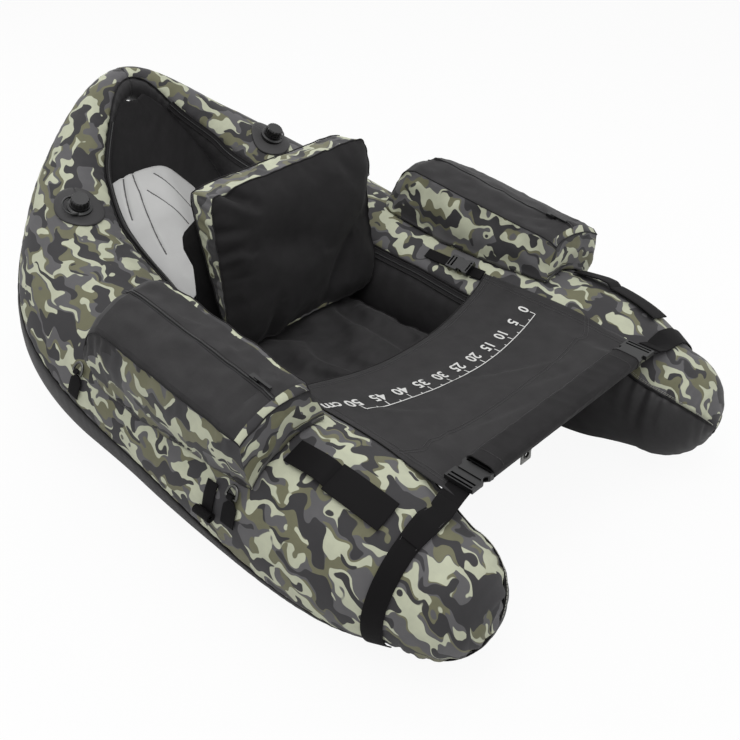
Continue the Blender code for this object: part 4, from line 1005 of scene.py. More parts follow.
PAD_SPACING = 0.0075
BACK_FRONT_CROWN, BACK_REAR_CROWN = 0.016, 0.006
BACK_FOOT_TAPER = 0.020
BACK_CORNER = (0.070, 0.035)       # share drawn in at its corners, and more at its foot
BACK_STRETCH = 0.024               # of its upper half
BACK_PUCKER = (0.0035, 0.037, 0.05)    # height, spacing and fade, round its front
GUSSET_PUCKER = (0.0085, 0.026)    # height and spacing
BACK_PANEL_SHARE = 0.45
BACK_PANEL_GAP = 0.0035
BACK_PANEL_SAG = 0.004
SEAT_SPACING = 0.008
SEAT_CORNER = 0.035
SEAT_FAN_Y = -0.34                 # the creases fan out from here, before the pad's middle
SEAT_FAN = (17, 0.0120)            # creases a radian and their height
SLING_GAP = 0.0016                 # under the pad
SLING_FOLD = 0.0008


def pad_dome(u, v):
    """1 in the middle of a pad and 0 along its edges."""
    return (1 - u ** 4) * (1 - v ** 4)


class FLOATTUBE_OT_back_pad(bpy.types.Operator):
    """Boxed back pad: black faces, puckered camouflage gusset, piping and a rear panel"""
    bl_idname = "float_tube.back_pad"
    bl_label = "Back pad"

    def execute(self, context):
        upright = Matrix.Rotation(math.pi / 2 - math.radians(BACK_LEAN), 4, "X")
        place = (Matrix.Translation(BACK_PIVOT) @ upright
                 @ Matrix.Translation((0, BACK_HEIGHT / 2, -BACK_EDGE / 2)))
        deep = BACK_EDGE / 2

        def shape(x, y, z):
            u, v, w = 2 * x / BACK_FOOT_WIDTH, 2 * y / BACK_HEIGHT, z / deep
            foot, front_share, upper = (1 - v) / 2, (w + 1) / 2, max(v, 0.0)
            foot_width = between((BACK_FOOT_WIDTH, BACK_FACE_FOOT), front_share)
            wide = between((BACK_FACE_TOP, foot_width), foot) / BACK_FOOT_WIDTH
            corner = 1 - (BACK_CORNER[0] + BACK_CORNER[1] * foot) * abs(u * v) ** 5
            crown = BACK_FRONT_CROWN if w > 0.99 else -BACK_REAR_CROWN * (w < -0.99)
            taper = BACK_FOOT_TAPER * foot * front_share
            taper += BACK_TOP_SPARE * (1 - foot) * (1 - front_share)
            taper += BACK_ROLL * upper ** 2 * front_share
            return place @ Vector((x * wide * corner, y * (1 + BACK_STRETCH * upper) * corner,
                                   z + pad_dome(u, v) * crown - taper))

        xs = steps(-BACK_FOOT_WIDTH / 2, BACK_FOOT_WIDTH / 2, PAD_SPACING)
        ys = steps(-BACK_HEIGHT / 2, BACK_HEIGHT / 2, PAD_SPACING)
        zs = steps(-deep, deep, PAD_SPACING)
        pad, index = boxed("back_pad", xs, ys, zs, shape, ["black", "camo"],
                           lambda axis, far, centre: 0 if axis == 2 else 1, "backrest")
        front = perimeter(index, xs, ys, len(zs) - 1)
        rear = perimeter(index, xs, ys, 0)
        fill(pad, 4.0, sizes().swell, front + rear)
        crumple(pad, 0.0028, (9, 9, 7), 1.0)
        self.press_folds(pad, index, xs, ys, zs)
        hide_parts("backrest_cushion")
        for numbers, word in ((front, "front"), (rear, "rear")):
            piping("back_piping_" + word, edge_path(pad, numbers), sizes().piping,
                   body="backrest", closed=True)
        soften(pad)

        def panel_point(down, across):
            u, v = 2 * across - 1, 2 * down - 1
            sag = BACK_PANEL_SAG * wander(u * 2.0, v * 1.5, 5.0) * (1 - u ** 6)
            return place @ Vector((
                u * BACK_FOOT_WIDTH * BACK_PANEL_SHARE, v * BACK_HEIGHT * BACK_PANEL_SHARE,
                -deep - BACK_CROWN - BACK_PANEL_GAP + sag - BACK_TOP_SPARE * (1 + v) / 2))

        # The rear panel is a flat pocket of cloth sewn on three sides.
        rows = grid(24, 24, panel_point)
        panel = cloth_grid("back_rear_panel", rows, "black", "backrest")
        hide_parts("backrest_rear_panel")
        declare(rows)
        return {"FINISHED"}

    @staticmethod
    def press_folds(pad, index, xs, ys, zs):
        """Folds of the slack front, and puckers where the gusset is gathered on to the faces."""
        last = (len(xs) - 1, len(ys) - 1, len(zs) - 1)
        moved = {}
        for (i, j, k), number in index.items():
            vertex = pad.data.vertices[number]
            x, y, w = xs[i], ys[j], 2 * zs[k] / BACK_EDGE
            rise = 0.0
            if k == last[2]:
                for *ends, width, height in BACK_FOLDS:
                    off, t = crease_off(x, y, ends)
                    size = height * math.sin(math.pi * clamp(t, 0.06, 0.94)) ** 0.5
                    fade = math.exp(-(off / width) ** 2)
                    rise += size * 1.7 * off / width * fade
                    rise -= size * 0.8 * fade
                edge = min(i, j, last[0] - i, last[1] - j) / last[0]
                run = x if j in (0, last[1]) or abs(y) > abs(x) else y
                height, period, reach = BACK_PUCKER
                rise += height * ripple(run, 12.0, period) * math.exp(-edge / reach)
            elif 0 < k:
                run = x if j in (0, last[1]) else y
                height, period = GUSSET_PUCKER
                rise = height * ripple(run, 2.0 + 0.4 * w, period) * (1 - 0.55 * w * w)
            moved[number] = vertex.co + vertex.normal * rise
        for number, place in moved.items():
            pad.data.vertices[number].co = place
        pad.data.update()


class FLOATTUBE_OT_seat(bpy.types.Operator):
    """Seat pad with creases that fan out from under the apron, and its sling"""
    bl_idname = "float_tube.seat"
    bl_label = "Seat"

    def execute(self, context):
        middle = (SEAT_FRONT_Y + SEAT_BACK_Y) / 2
        length = SEAT_BACK_Y - SEAT_FRONT_Y
        low = SEAT_TOP_Z - SEAT_EDGE - 2 * SEAT_CROWN

        def shape(x, y, z):
            u, v = 2 * x / SEAT_WIDTH, 2 * y / length
            corner = 1 - SEAT_CORNER * (u * v) ** 4
            crown = SEAT_CROWN * pad_dome(u, v) * (0.5 if z > 0.5 else -0.9 * (z < 0.5))
            height = low + SEAT_CROWN + z * SEAT_EDGE + crown
            if z > 0.99:
                wave = math.sin(math.atan2(x, y - SEAT_FAN_Y) * SEAT_FAN[0]
                                + 4 * wander(x * 7, y * 7, 2))
                crest = abs(wave) ** 0.6 * math.copysign(1, wave)
                height += SEAT_FAN[1] * crest * pad_dome(u, v)
            return Vector((x * corner, middle + y * corner, height))

        xs = steps(-SEAT_WIDTH / 2, SEAT_WIDTH / 2, SEAT_SPACING)
        ys = steps(-length / 2, length / 2, SEAT_SPACING)
        zs = [0.0, 0.2, 0.4, 0.6, 0.8, 1.0]
        # The seat is the black pack cloth painted lighter: painted light on its up-facing top.
        pad, index = boxed("seat_pad", xs, ys, zs, shape, ["painted_lit_black"],
                           lambda axis, far, centre: 0, spans=(1, 1, SEAT_EDGE))
        edge = perimeter(index, xs, ys, len(zs) - 1)
        fill(pad, 2.2, 0.008, edge)
        crumple(pad, 0.0080, (8, 11, 6), 9.0)
        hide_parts("seat_cushion")
        piping("seat_piping", edge_path(pad, edge), sizes().piping, closed=True)
        soften(pad)

        def sling_point(down, across):
            y = SEAT_FRONT_Y + length * down
            centre, radius = axis_point(place_at(y))
            z = low - SLING_GAP
            reach = centre.x - math.sqrt(max(radius ** 2 - (z - centre.z) ** 2, 0)) + 1.0 * MM
            u = 2 * across - 1
            fold = SLING_FOLD * wander(u * 4, y * 12, 2.5)
            return Vector((u * reach, y, z + fold - SLING_FOLD))

        # The sling hangs taut between the pontoons, just under the pad.
        rows = grid(30, 30, sling_point)
        sling = cloth_grid("seat_sling_cloth", rows, "black")
        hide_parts("seat_sling")
        declare(rows)
        return {"FINISHED"}


# Cloth of the bay

BAY_ROWS = 62
BAY_INSET = 0.002
BAY_SOFT = 0.006
BAY_CREASE = 0.005
WALL_FOLD = 0.005
WALL_WAVE = 0.012
WALL_GAP = 2.2 * MM
WALL_HEM = 1.6 * MM
FLAP_SIZE = (0.17, 0.42)               # across and along, for its creases
FLAP_ARCH = 0.024
FLAP_FALL = 0.055
FLAP_FOLD = (0.003, 1.7, 0.25)         # height, count across and skew along
FLAP_RIDGE = (0.0050, 0.0035)          # depth and width of a crease's groove
FLAP_SWELL = (0.0035, 0.016)           # height and width of the cloth beside it
FLAP_UNEVEN = 0.0022
FLAP_HEM = 1.4 * MM
# Radius of the dark tubes that paint the creases' shadow lines.
FLAP_SHADOW_LINE = 1.9 * MM


class FLOATTUBE_OT_bay(bpy.types.Operator):
    """Lining of the storage bay, its front wall and the folded grey cover"""
    bl_idname = "float_tube.bay"
    bl_label = "Storage bay"

    def execute(self, context):
        stations = (place_at(BAY_FRONT_Y), BAY_LAST_STATION)

        def floor_point(down, across):
            edge = skin(between(stations, down), BAY_EDGE_ANGLE, -BAY_INSET)
            u = 2 * across - 1
            fall = BAY_SAG * (1 - u * u) * (edge.x / (AXLE_TRACK - TUBE_RADIUS))
            crease = BAY_SOFT * wander(u * 2.2, edge.y * 9, 4.0) * (1 - u * u)
            crease -= BAY_CREASE * abs(wander(u * 5 + edge.y * 8, edge.y * 5, 8.0))
            return Vector((edge.x * u, edge.y,
                           edge.z - fall - 1.0 * MM + crease * (1 - u ** 4)))

        rows = grid(BAY_ROWS, BAY_ACROSS, floor_point)
        lining = cloth_grid("bay_floor", rows, "black")
        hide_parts("bay_lining")
        declare(rows)
        self.wall(rows[0])
        self.cover()
        return {"FINISHED"}

    @staticmethod
    def wall(foot):
        """The bay's front wall stands between the pontoons, behind the back pad."""
        centre, radius = axis_point(place_at(foot[0].y))

        def wall_point(v, across):
            low = foot[round(across * BAY_ACROSS)]
            u = 2 * across - 1
            z = between((low.z, WALL_TOP_Z), v)
            x = float(np.interp(z, *WALL_PROFILE)) * u
            x = low.x + (x - low.x) * min(v * 3, 1.0)
            if z < centre.z + radius:
                reach = centre.x - math.sqrt(max(radius ** 2 - (z - centre.z) ** 2, 0.0))
                x = math.copysign(min(abs(x), reach), x)
            fold = WALL_FOLD * wander(u * 4, v * 3, 6.0) * min(v * 4, 1)
            fold += WALL_WAVE * max(v - 0.6, 0) * math.sin(5 * u + 1)
            return Vector((x, foot[0].y - WALL_GAP + fold, z))

        rows = grid(40, BAY_ACROSS, wall_point)
        wall = cloth_grid("bay_front_cloth", rows, "black")
        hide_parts("bay_front_wall")
        declare(rows)
        border = [row[0] for row in rows[20:]] + rows[-1] + [row[-1] for row in rows[:19:-1]]
        piping("bay_wall_hem", border, WALL_HEM)

    @staticmethod
    def cover():
        """The storage cover, folded back along the right pontoon with its coated side up."""
        across, along = FLAP_SIZE
        ends = [(a * across, b * along, c * across, d * along) for a, b, c, d in FLAP_CREASES]

        def cover_point(v, u):
            place = between(FLAP_STATIONS, v)
            seam = skin(place, seam_angle(INNER_SEAM_DEGREES, place) + FLAP_BELOW_SEAM)
            width = 2 * seam.x * between(FLAP_WIDTH_SHARES, v)
            height, count, skew = FLAP_FOLD
            rise = FLAP_ARCH * math.sin(math.pi * u) - FLAP_FALL * u ** 4 * v
            rise += height * math.sin(2 * math.pi * (count * u + skew * v)) * u * (1 + v)
            for pair in ends:
                off, t = crease_off(u * across, v * along, pair)
                size = 0.4 + 0.6 * math.sin(math.pi * clamp(t, 0.05, 0.95))
                rise -= FLAP_RIDGE[0] * size * math.exp(-(off / FLAP_RIDGE[1]) ** 2)
                swell = FLAP_SWELL[0] * size * math.exp(-abs(off) / FLAP_SWELL[1])
                rise += swell * (1 if off > 0 else 0.3)
            rise += FLAP_UNEVEN * wander(u * 5, v * 6, 3.0)
            point = seam + Vector((-width * u, -FLAP_DRAW * u * v, rise + 1.0 * MM))
            return mirror(point, -1)

        rows = grid(100, 80, cover_point)
        cover = cloth_grid("bay_cover", rows, "grey", thickness=1.2 * MM)
        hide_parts("storage_flap")
        declare(rows, 1.06)
        piping("bay_cover_hem", [row[-1] for row in rows] + rows[-1][::-1], FLAP_HEM, "grey",
               "grey_coated_cloth")
        # Each crease gets a dark tube sunk along it: a painted shadow line in the fold.
        for number, (a, b, c, d) in enumerate(FLAP_CREASES):
            line = []
            for k in range(31):
                u, v = between((a, c), k / 30), min(between((b, d), k / 30), 0.995)
                line.append(on_grid(rows, v, u) + Vector((0, 0, 0.5 * MM)))
            piping("bay_cover_crease_%d" % number, line, FLAP_SHADOW_LINE, "thread",
                   "grey_coated_cloth")


# Apron, ruler and front bar

APRON_LONG_FOLD = 0.0050
APRON_FINE_FOLD = 0.0024
APRON_CREASE_WIDTH = 0.011
APRON_PINCH = (0.0014, 0.79, 0.02)     # depth, place and width of its cross seam
APRON_CORNER_EASE = 0.025
APRON_REST = 0.002                     # over the pontoons' skin
CROSS_STITCHING = (0.035, 0.050)       # along its free edge, as shares of its length
BENT_STITCHING = (0.785, 0.805)        # the cross seam, which bends back at its sides
BENT_SHARE = 0.11
SIDE_STITCHING = (0.022, 0.034, 0.966, 0.978)
THREAD_LIFT = Vector((0, 0, 0.6 * MM))
RULER_SHRINK = 0.992                   # of the cloth's length when seen from above
RULER_LIFT = 1.2 * MM
RULER_STROKE = 2.1 * MM
RULER_TICKS = (15.0 * MM, 6.5 * MM)
RULER_TEXT = (0.035, 0.84, 0.0008)     # size, width and added weight
RULER_BASELINE = 0.0435
RULER_LAST_SHIFT = -0.013              # of the last number, so that its unit fits beside it
SLEEVE_AROUND = 56
SLEEVE_CREASES = (0.0018, 0.0014)
SLEEVE_HEM = 1.6 * MM
TAB_SPARE = (4.0, 4.0, 3.0)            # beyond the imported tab, in mm: sideways, down and up
TAB_BORE = 7.7 * MM
TAB_BEND = 0.4 * MM
TAB_AROUND, TAB_RINGS = 48, 6


def apron_back(x):
    return APRON_BACK_Y - APRON_BACK_BOW * (1 - (x / APRON_HALF_WIDTH) ** 2)


def apron_point(x, y):
    """The apron's upper side at this x and y."""
    u = x / APRON_HALF_WIDTH
    front = SLEEVE_Y + SLEEVE_DEPTH / 2
    v = (y - apron_back(x)) / (front - apron_back(x))
    sag = APRON_SAG * (1 - u * u) * (1 - (1 - APRON_FRONT_SAG_SHARE) * v * v)
    return Vector((x, y, APRON_EDGE_Z - sag + 1.1 * MM)), v


def apron_fold(x, y):
    """Slack of the apron: long creases from its corners, and a pinch along its seams."""
    u, v = x / APRON_HALF_WIDTH, apron_point(x, y)[1]
    long = wander(x * 5 + y * 3, y * 11, 1.0)
    fine = abs(wander(x * 14, y * 26, 7.0))
    fold = APRON_LONG_FOLD * long * (1 - u * u) - APRON_FINE_FOLD * fine
    for *ends, height in APRON_CREASES:
        off, t = crease_off(x, y, ends)
        off /= APRON_CREASE_WIDTH
        size = height * math.sin(math.pi * clamp(t, 0.04, 0.96))
        fold += size * 1.6 * off * math.exp(-off ** 2)
    depth, middle, width = APRON_PINCH
    return fold - depth * math.exp(-((v - middle) / width) ** 2)


class FLOATTUBE_OT_apron(bpy.types.Operator):
    """Apron across the front, with a piped free edge and double-stitched seams"""
    bl_idname = "float_tube.apron"
    bl_label = "Apron"

    def execute(self, context):
        front = SLEEVE_Y + SLEEVE_DEPTH / 2 + 1.0 * MM
        corner_x, runs_on, falls = APRON_CORNER

        def place(v, across):
            x = APRON_HALF_WIDTH * (2 * across - 1)
            corner = clamp((abs(x) - corner_x) / APRON_CORNER_EASE)
            y = between((apron_back(x), front), v)
            point = apron_point(x, y)[0]
            point.z += apron_fold(x, y) - falls * corner * v ** 4
            point.y = y = y - runs_on * corner * v ** 4
            centre, radius = axis_point(place_at(y))
            reach = radius + APRON_REST
            gap = math.hypot(abs(x) - centre.x, point.z - centre.z)
            if gap < reach and abs(x) > 0.2:
                point.z = centre.z + math.sqrt(max(reach ** 2 - (abs(x) - centre.x) ** 2, 0))
            return point

        rows = grid(56, 90, place)
        # The apron is the black pack cloth painted lighter: painted light where it faces up.
        apron = cloth_grid("apron_cloth", rows, "painted_lit_black", offset=-1.0)
        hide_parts("apron")
        declare(rows)
        piping("apron_piping", rows[0], sizes().piping)

        def line(count, place_of):
            return [on_grid(rows, *place_of(k / count)) + THREAD_LIFT for k in range(count + 1)]

        lines = [line(120, lambda run: (down, run)) for down in CROSS_STITCHING]
        lines += [line(120, lambda run: (down - BENT_SHARE * abs(2 * run - 1) ** 5, run))
                  for down in BENT_STITCHING]
        lines += [line(60, lambda run: (run, across)) for across in SIDE_STITCHING]
        stitches("apron_stitching", lines)
        return {"FINISHED"}


def ruler_point(run, back):
    """A place on the ruler: run from its 0, and back towards the angler."""
    half = RULER_LENGTH / 2 * RULER_SHRINK
    x = RULER_MIDDLE_X + half - run * RULER_SHRINK
    y = RULER_LINE[0] + RULER_LINE[1] * x + RULER_LINE[2] * x * x + back
    point = apron_point(x, y)[0]
    point.z += apron_fold(x, y) + RULER_LIFT
    return point


class FLOATTUBE_OT_ruler(bpy.types.Operator):
    """Printed ruler of 50 cm, with a number at every fifth centimetre"""
    bl_idname = "float_tube.ruler"
    bl_label = "Ruler"

    def execute(self, context):
        points, faces = [], []
        runs = [RULER_LENGTH * k / 100 for k in range(101)]
        self.print_strip(points, faces, [(x, 0.0) for x in runs],
                         [(x, RULER_STROKE) for x in runs])
        for k in range(21):
            low, high = (RULER_LENGTH * k / 20 + sign * RULER_STROKE / 2 for sign in (-1, 1))
            tall = RULER_TICKS[k % 2]
            self.print_strip(points, faces, [(low, RULER_STROKE), (high, RULER_STROKE)],
                             [(low, tall), (high, tall)])
        for number in range(0, 51, 5):
            label = "%d cm" % number if number == 50 else str(number)
            self.print_text(points, faces, label, number * 0.01)
        item = make_piece("ruler_print", points, faces, ["ink"], smooth=False)
        return {"FINISHED"}

    @staticmethod
    def print_strip(points, faces, near, far):
        """Adds a strip of print between two rows of places on the apron."""
        start, count = len(points), len(near)
        points += [ruler_point(*place) for place in near + far]
        for k in range(start, start + count - 1):
            faces.append((k, k + 1, k + count + 1, k + count))

    @staticmethod
    def print_text(points, faces, label, run):
        size, wide, weight = RULER_TEXT
        last = label.endswith("cm")
        curve = bpy.data.curves.new("label", "FONT")
        curve.body = label
        curve.size = size
        curve.offset = weight
        curve.resolution_u = 4
        curve.align_x = "LEFT" if last else "CENTER"
        holder = bpy.data.objects.new("label", curve)
        bpy.context.scene.collection.objects.link(holder)
        graph = bpy.context.evaluated_depsgraph_get()
        mesh = bpy.data.meshes.new_from_object(holder.evaluated_get(graph))
        start = len(points)
        run += RULER_LAST_SHIFT if last else 0.0
        for vertex in mesh.vertices:
            points.append(ruler_point(run + vertex.co.x * wide, RULER_BASELINE - vertex.co.y))
        for polygon in mesh.polygons:
            faces.append(tuple(start + k for k in polygon.vertices))
        bpy.data.objects.remove(holder, do_unlink=True)
        bpy.data.meshes.remove(mesh)


class FLOATTUBE_OT_front_bar(bpy.types.Operator):
    """Sleeve of the spreader bar, with hemmed mouths, and the eyelet tab"""
    bl_idname = "float_tube.front_bar"
    bl_label = "Front bar"

    def execute(self, context):
        rows = grid(120, SLEEVE_AROUND, self.sleeve_point)
        sleeve = cloth_grid("front_sleeve_cloth", rows, "black",
                            thickness=1.6 * MM, offset=1.0)
        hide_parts("front_sleeve")
        declare(rows)
        lines = []
        for mouth, sewn, word in ((0, 7, "right"), (-1, -8, "left")):
            piping("sleeve_hem_" + word, rows[mouth][:-1], SLEEVE_HEM, closed=True)
            lines.append([p + Vector((0, 0, 0.4 * MM))
                          for p in rows[sewn][2:SLEEVE_AROUND // 2 - 1]])
        lines += [[row[j] + THREAD_LIFT for row in rows] for j in (4, 6)]
        stitches("sleeve_stitching", lines)
        self.tab()
        dress("eyelet", "nickel")
        dress("spreader_bar", "aluminium")
        return {"FINISHED"}

    @staticmethod
    def sleeve_point(along, around):
        """The sleeve is flat above and below the bar, and round at its two sides."""
        x = between((-SLEEVE_HALF, SLEEVE_HALF), along)
        turn = 2 * math.pi * around
        c, s = math.cos(turn), math.sin(turn)
        radius = SLEEVE_HEIGHT / 2
        flat = math.copysign(SLEEVE_DEPTH / 2 - radius, c) * min(1.0, abs(c) * 3)
        crease = -SLEEVE_CREASES[0] * abs(wander(x * 9, c * 1.5, s * 1.5 + 3))
        crease -= SLEEVE_CREASES[1] * abs(wander(x * 30, turn * 0.8, 9.0))
        reach = radius + (crease if s > -0.6 else crease * 0.2)
        return Vector((x, SLEEVE_Y + reach * c + flat, SLEEVE_Z + reach * s))

    @staticmethod
    def tab():
        """Woven tab: rings of points from the eyelet's bore out to a rectangle."""
        sideways, down, up = TAB_SPARE
        low, high = (Vector(corner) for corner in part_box("eyelet_tab"))
        low -= Vector((sideways, 0, down)) * MM
        high += Vector((sideways, 0, up)) * MM
        centre = (Vector(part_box("eyelet")[0]) + Vector(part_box("eyelet")[1])) / 2
        points = []
        for i in range(TAB_RINGS):
            for k in range(TAB_AROUND):
                turn = 2 * math.pi * k / TAB_AROUND
                out = Vector((math.cos(turn), 0, math.sin(turn)))
                spans = [((high[n] if out[n] > 0 else low[n]) - centre[n]) / out[n]
                         for n in (0, 2) if abs(out[n]) > 1e-6]
                place = (centre + out * TAB_BORE).lerp(centre + out * min(spans),
                                                       i / (TAB_RINGS - 1))
                place.y = centre.y + TAB_BEND * math.sin(place.z * 260)
                points.append(place)
        faces = grid_faces(TAB_RINGS, TAB_AROUND, closed=True)
        tab = make_piece("eyelet_tab_web", points, faces, ["grey_webbing"],
                         point_uvs=[(p.z, p.x) for p in points])
        thicken(tab, 1.8 * MM, 0.0)
        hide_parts("eyelet_tab")


# Straps and fittings

STRAP_RISE = 0.6 * MM
STRAP_LANDING_RISE = 1.2 * MM
STRAP_DROP = 2.5 * MM                  # of the webbing's middle inside the buckle
STRAP_BOW = 2.0 * MM
STRAP_FREE_STEPS, STRAP_LAID_STEPS = 8, 44
STRAP_TAPER_STEPS = 8
DOUBLED_ROWS, SEWN_ROWS = (5, 17), (8, 18)
DOUBLED_RISE, DOUBLED_WIDTH_SHARE = 2.3 * MM, 0.995
THREAD_INSET = 4.0 * MM
APRON_STRAP_RISE, APRON_STRAP_THICK = 1.8 * MM, 3.0 * MM


def strap_rows(stops, width, rise=0.0):
    """Centres, half-width vectors and normals of a strap laid on the left pontoon."""
    centres = [skin(place, angle) for place, angle in stops]
    rows = []
    for k, (place, angle) in enumerate(stops):
        along = centres[min(k + 1, len(stops) - 1)] - centres[max(k - 1, 0)]
        normal = skin_normal(place, angle)
        across = normal.cross(along).normalized()
        rows.append((centres[k] + normal * rise, across * (width / 2), normal))
    return rows


def stops_between(first, last, count):
    return [tuple(between(pair, k / count) for pair in zip(first, last))
            for k in range(count + 1)]


def run_along(angle, y_first, y_last, count):
    """Stops of a strap that runs along the tube at one angle."""
    return stops_between((place_at(y_first), angle), (place_at(y_last), angle), count)


def on_side(rows, side):
    """Rows of a strap on one side; the half widths turn so that its face stays outward."""
    return [(mirror(c, side), mirror(h, side) * side, mirror(n, side)) for c, h, n in rows]


def edge_lines(rows, side, inset, lift):
    """Two lines along a strap, near its edges, for stitching."""
    return [[centre + half * sign * (1 - inset / half.length) + normal * lift
             for centre, half, normal in on_side(rows, side)] for sign in (-1, 1)]


class FLOATTUBE_OT_straps(bpy.types.Operator):
    """Straps over the pontoons' tips and those of the apron, with their buckles"""
    bl_idname = "float_tube.straps"
    bl_label = "Straps and buckles"

    def execute(self, context):
        rows = self.front_strap()
        doubled = [(c + n * DOUBLED_RISE, h * DOUBLED_WIDTH_SHARE, n)
                   for c, h, n in rows[slice(*DOUBLED_ROWS)]]
        for side, word in SIDES:
            strap = band(on_side(rows, side), "front_strap_web_" + word)
            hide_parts("front_strap_" + word)
            # The doubled end lies back over the strap, sewn down.
            band(on_side(doubled, side), "front_strap_double_" + word)
            stitches("front_strap_stitching_" + word,
                     edge_lines(rows[slice(*SEWN_ROWS)], side, THREAD_INSET, 3.6 * MM))
            for half in ("socket", "prongs"):
                dress("front_buckle_%s_%s" % (half, word), "plastic")
                dress("apron_buckle_%s_%s" % (half, word), "plastic")
            for label, ends in (("rear", APRON_STRAP_Y[:2]), ("front", APRON_STRAP_Y[2:])):
                name = "apron_strap_%s_%s" % (label, word)
                laid = strap_rows(run_along(APRON_STRAP_ANGLE, *ends, 16), NARROW_WEB,
                                  APRON_STRAP_RISE)
                web = band(on_side(laid, side), name + "_web", thickness=APRON_STRAP_THICK)
                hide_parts(name)
        return {"FINISHED"}

    @staticmethod
    def front_strap():
        """From the buckle, free in the air, then round the left pontoon's tip."""
        place = place_at(SLEEVE_Y)
        landing_angle, top_angle, end_angle = FRONT_STRAP_ANGLES
        start = Vector((SLEEVE_HALF + BUCKLE_LENGTH - BUCKLE_SEAT, SLEEVE_Y,
                        SLEEVE_Z - BUCKLE_THICK / 2 + BUCKLE_WALL - STRAP_DROP))
        stops = stops_between((place, top_angle), (place, end_angle), STRAP_LAID_STEPS)
        laid = []
        for k, (centre, half, normal) in enumerate(strap_rows(stops, STRAP_WEB, STRAP_RISE)):
            doubled = max(1 - k / STRAP_TAPER_STEPS, 0)
            laid.append((centre, half * (1 + (WIDE_WEB / STRAP_WEB - 1) * doubled), normal))
        across = Vector((0, math.copysign(WIDE_WEB / 2, laid[0][1].y), 0))
        normal = skin_normal(place, landing_angle)
        landing = skin(place, landing_angle) + normal * STRAP_LANDING_RISE
        free = []
        for k in range(STRAP_FREE_STEPS + 1):
            t = k / STRAP_FREE_STEPS
            bow = Vector((0, 0, STRAP_BOW * math.sin(math.pi * t)))
            free.append((start.lerp(landing, t) + bow, across,
                         Vector((0, 0, 1)).lerp(normal, t).normalized()))
        return free + laid


# Pockets

POCKET_REST = 1.2 * MM                 # over the pontoon's skin
POCKET_BELLY = 0.006
POCKET_PUCKER = (0.0050, 0.030, 0.35)  # height, spacing and how much the belly irons out
POCKET_DROOP_START = 0.72
POCKET_FALL_START = 0.82
POCKET_SPACING = (0.065, 0.0075, 0.085)
POCKET_DEPTH = 0.11
CAMO_FRONT_Y = -0.318                  # before this the camouflage comes over the top
CAMO_INNER = (-0.90, 0.085)            # inside this x, as a share, and before this y
ZIP_BEYOND = (5, 4)                    # steps that the zip runs on before and behind the lid
# Bead, shift to the outside, radius, lift and finish.
POCKET_ZIP = (("coil", 0.0, 1.7 * MM, 1.4 * MM, "plastic"),
              ("tape_in", -0.0055, 0.8 * MM, 0.1 * MM, "black"),
              ("tape_out", 0.0055, 0.8 * MM, 0.1 * MM, "black"))


def pocket_point(x, y, z):
    """A point of the left pocket: x from -1, inner, to 1, y in metres and z from 0 to 1."""
    front, rear = POCKET_Y
    u = (x + 1) / 2
    share = (y - front) / (rear - front)
    wide, high = (float(np.interp(share, POCKET_SHARES[0], line)) for line in POCKET_SHARES[1:])
    middle = (POCKET_TOP_X[0] + POCKET_TOP_X[1]) / 2
    top_x = middle + (between(POCKET_TOP_X, u) - middle) * wide
    foot_x = middle + (between(POCKET_FOOT_X, u) - middle) * wide
    top_z = between(POCKET_EDGE_Z, u) + POCKET_CROWN * (1 - abs(x) ** 2.2)
    top_z = POCKET_FOOT_Z + (top_z - POCKET_FOOT_Z) * high
    droop = clamp((share - POCKET_DROOP_START) / (1 - POCKET_DROOP_START))
    fall = max((share - POCKET_FALL_START) / (1 - POCKET_FALL_START), 0.0)
    top_z -= POCKET_DROOP * u * u * droop ** 2
    top_z -= POCKET_REAR_FALL * (1 - 0.7 * (1 - u) ** 2) * fall ** 1.3
    centre, radius = axis_point(place_at(y))

    def hull_z(over):
        reach = radius + POCKET_REST
        return centre.z + math.sqrt(max(reach ** 2 - (over - centre.x) ** 2, 0.0))

    out = 0.0
    if abs(x) > 0.999 and 0 < z < 1:
        belly = math.sin(math.pi * z)
        height, period, ironed = POCKET_PUCKER
        gather = ripple(y + 0.02 * z, 21.0 + x, period)
        out = POCKET_BELLY * belly + height * gather * (1 - ironed * belly)
    px = between((foot_x, top_x), z) + out * x
    pz = between((hull_z(foot_x), top_z), z)
    return Vector((px, y, max(pz, hull_z(px)) if z < 0.2 else pz))


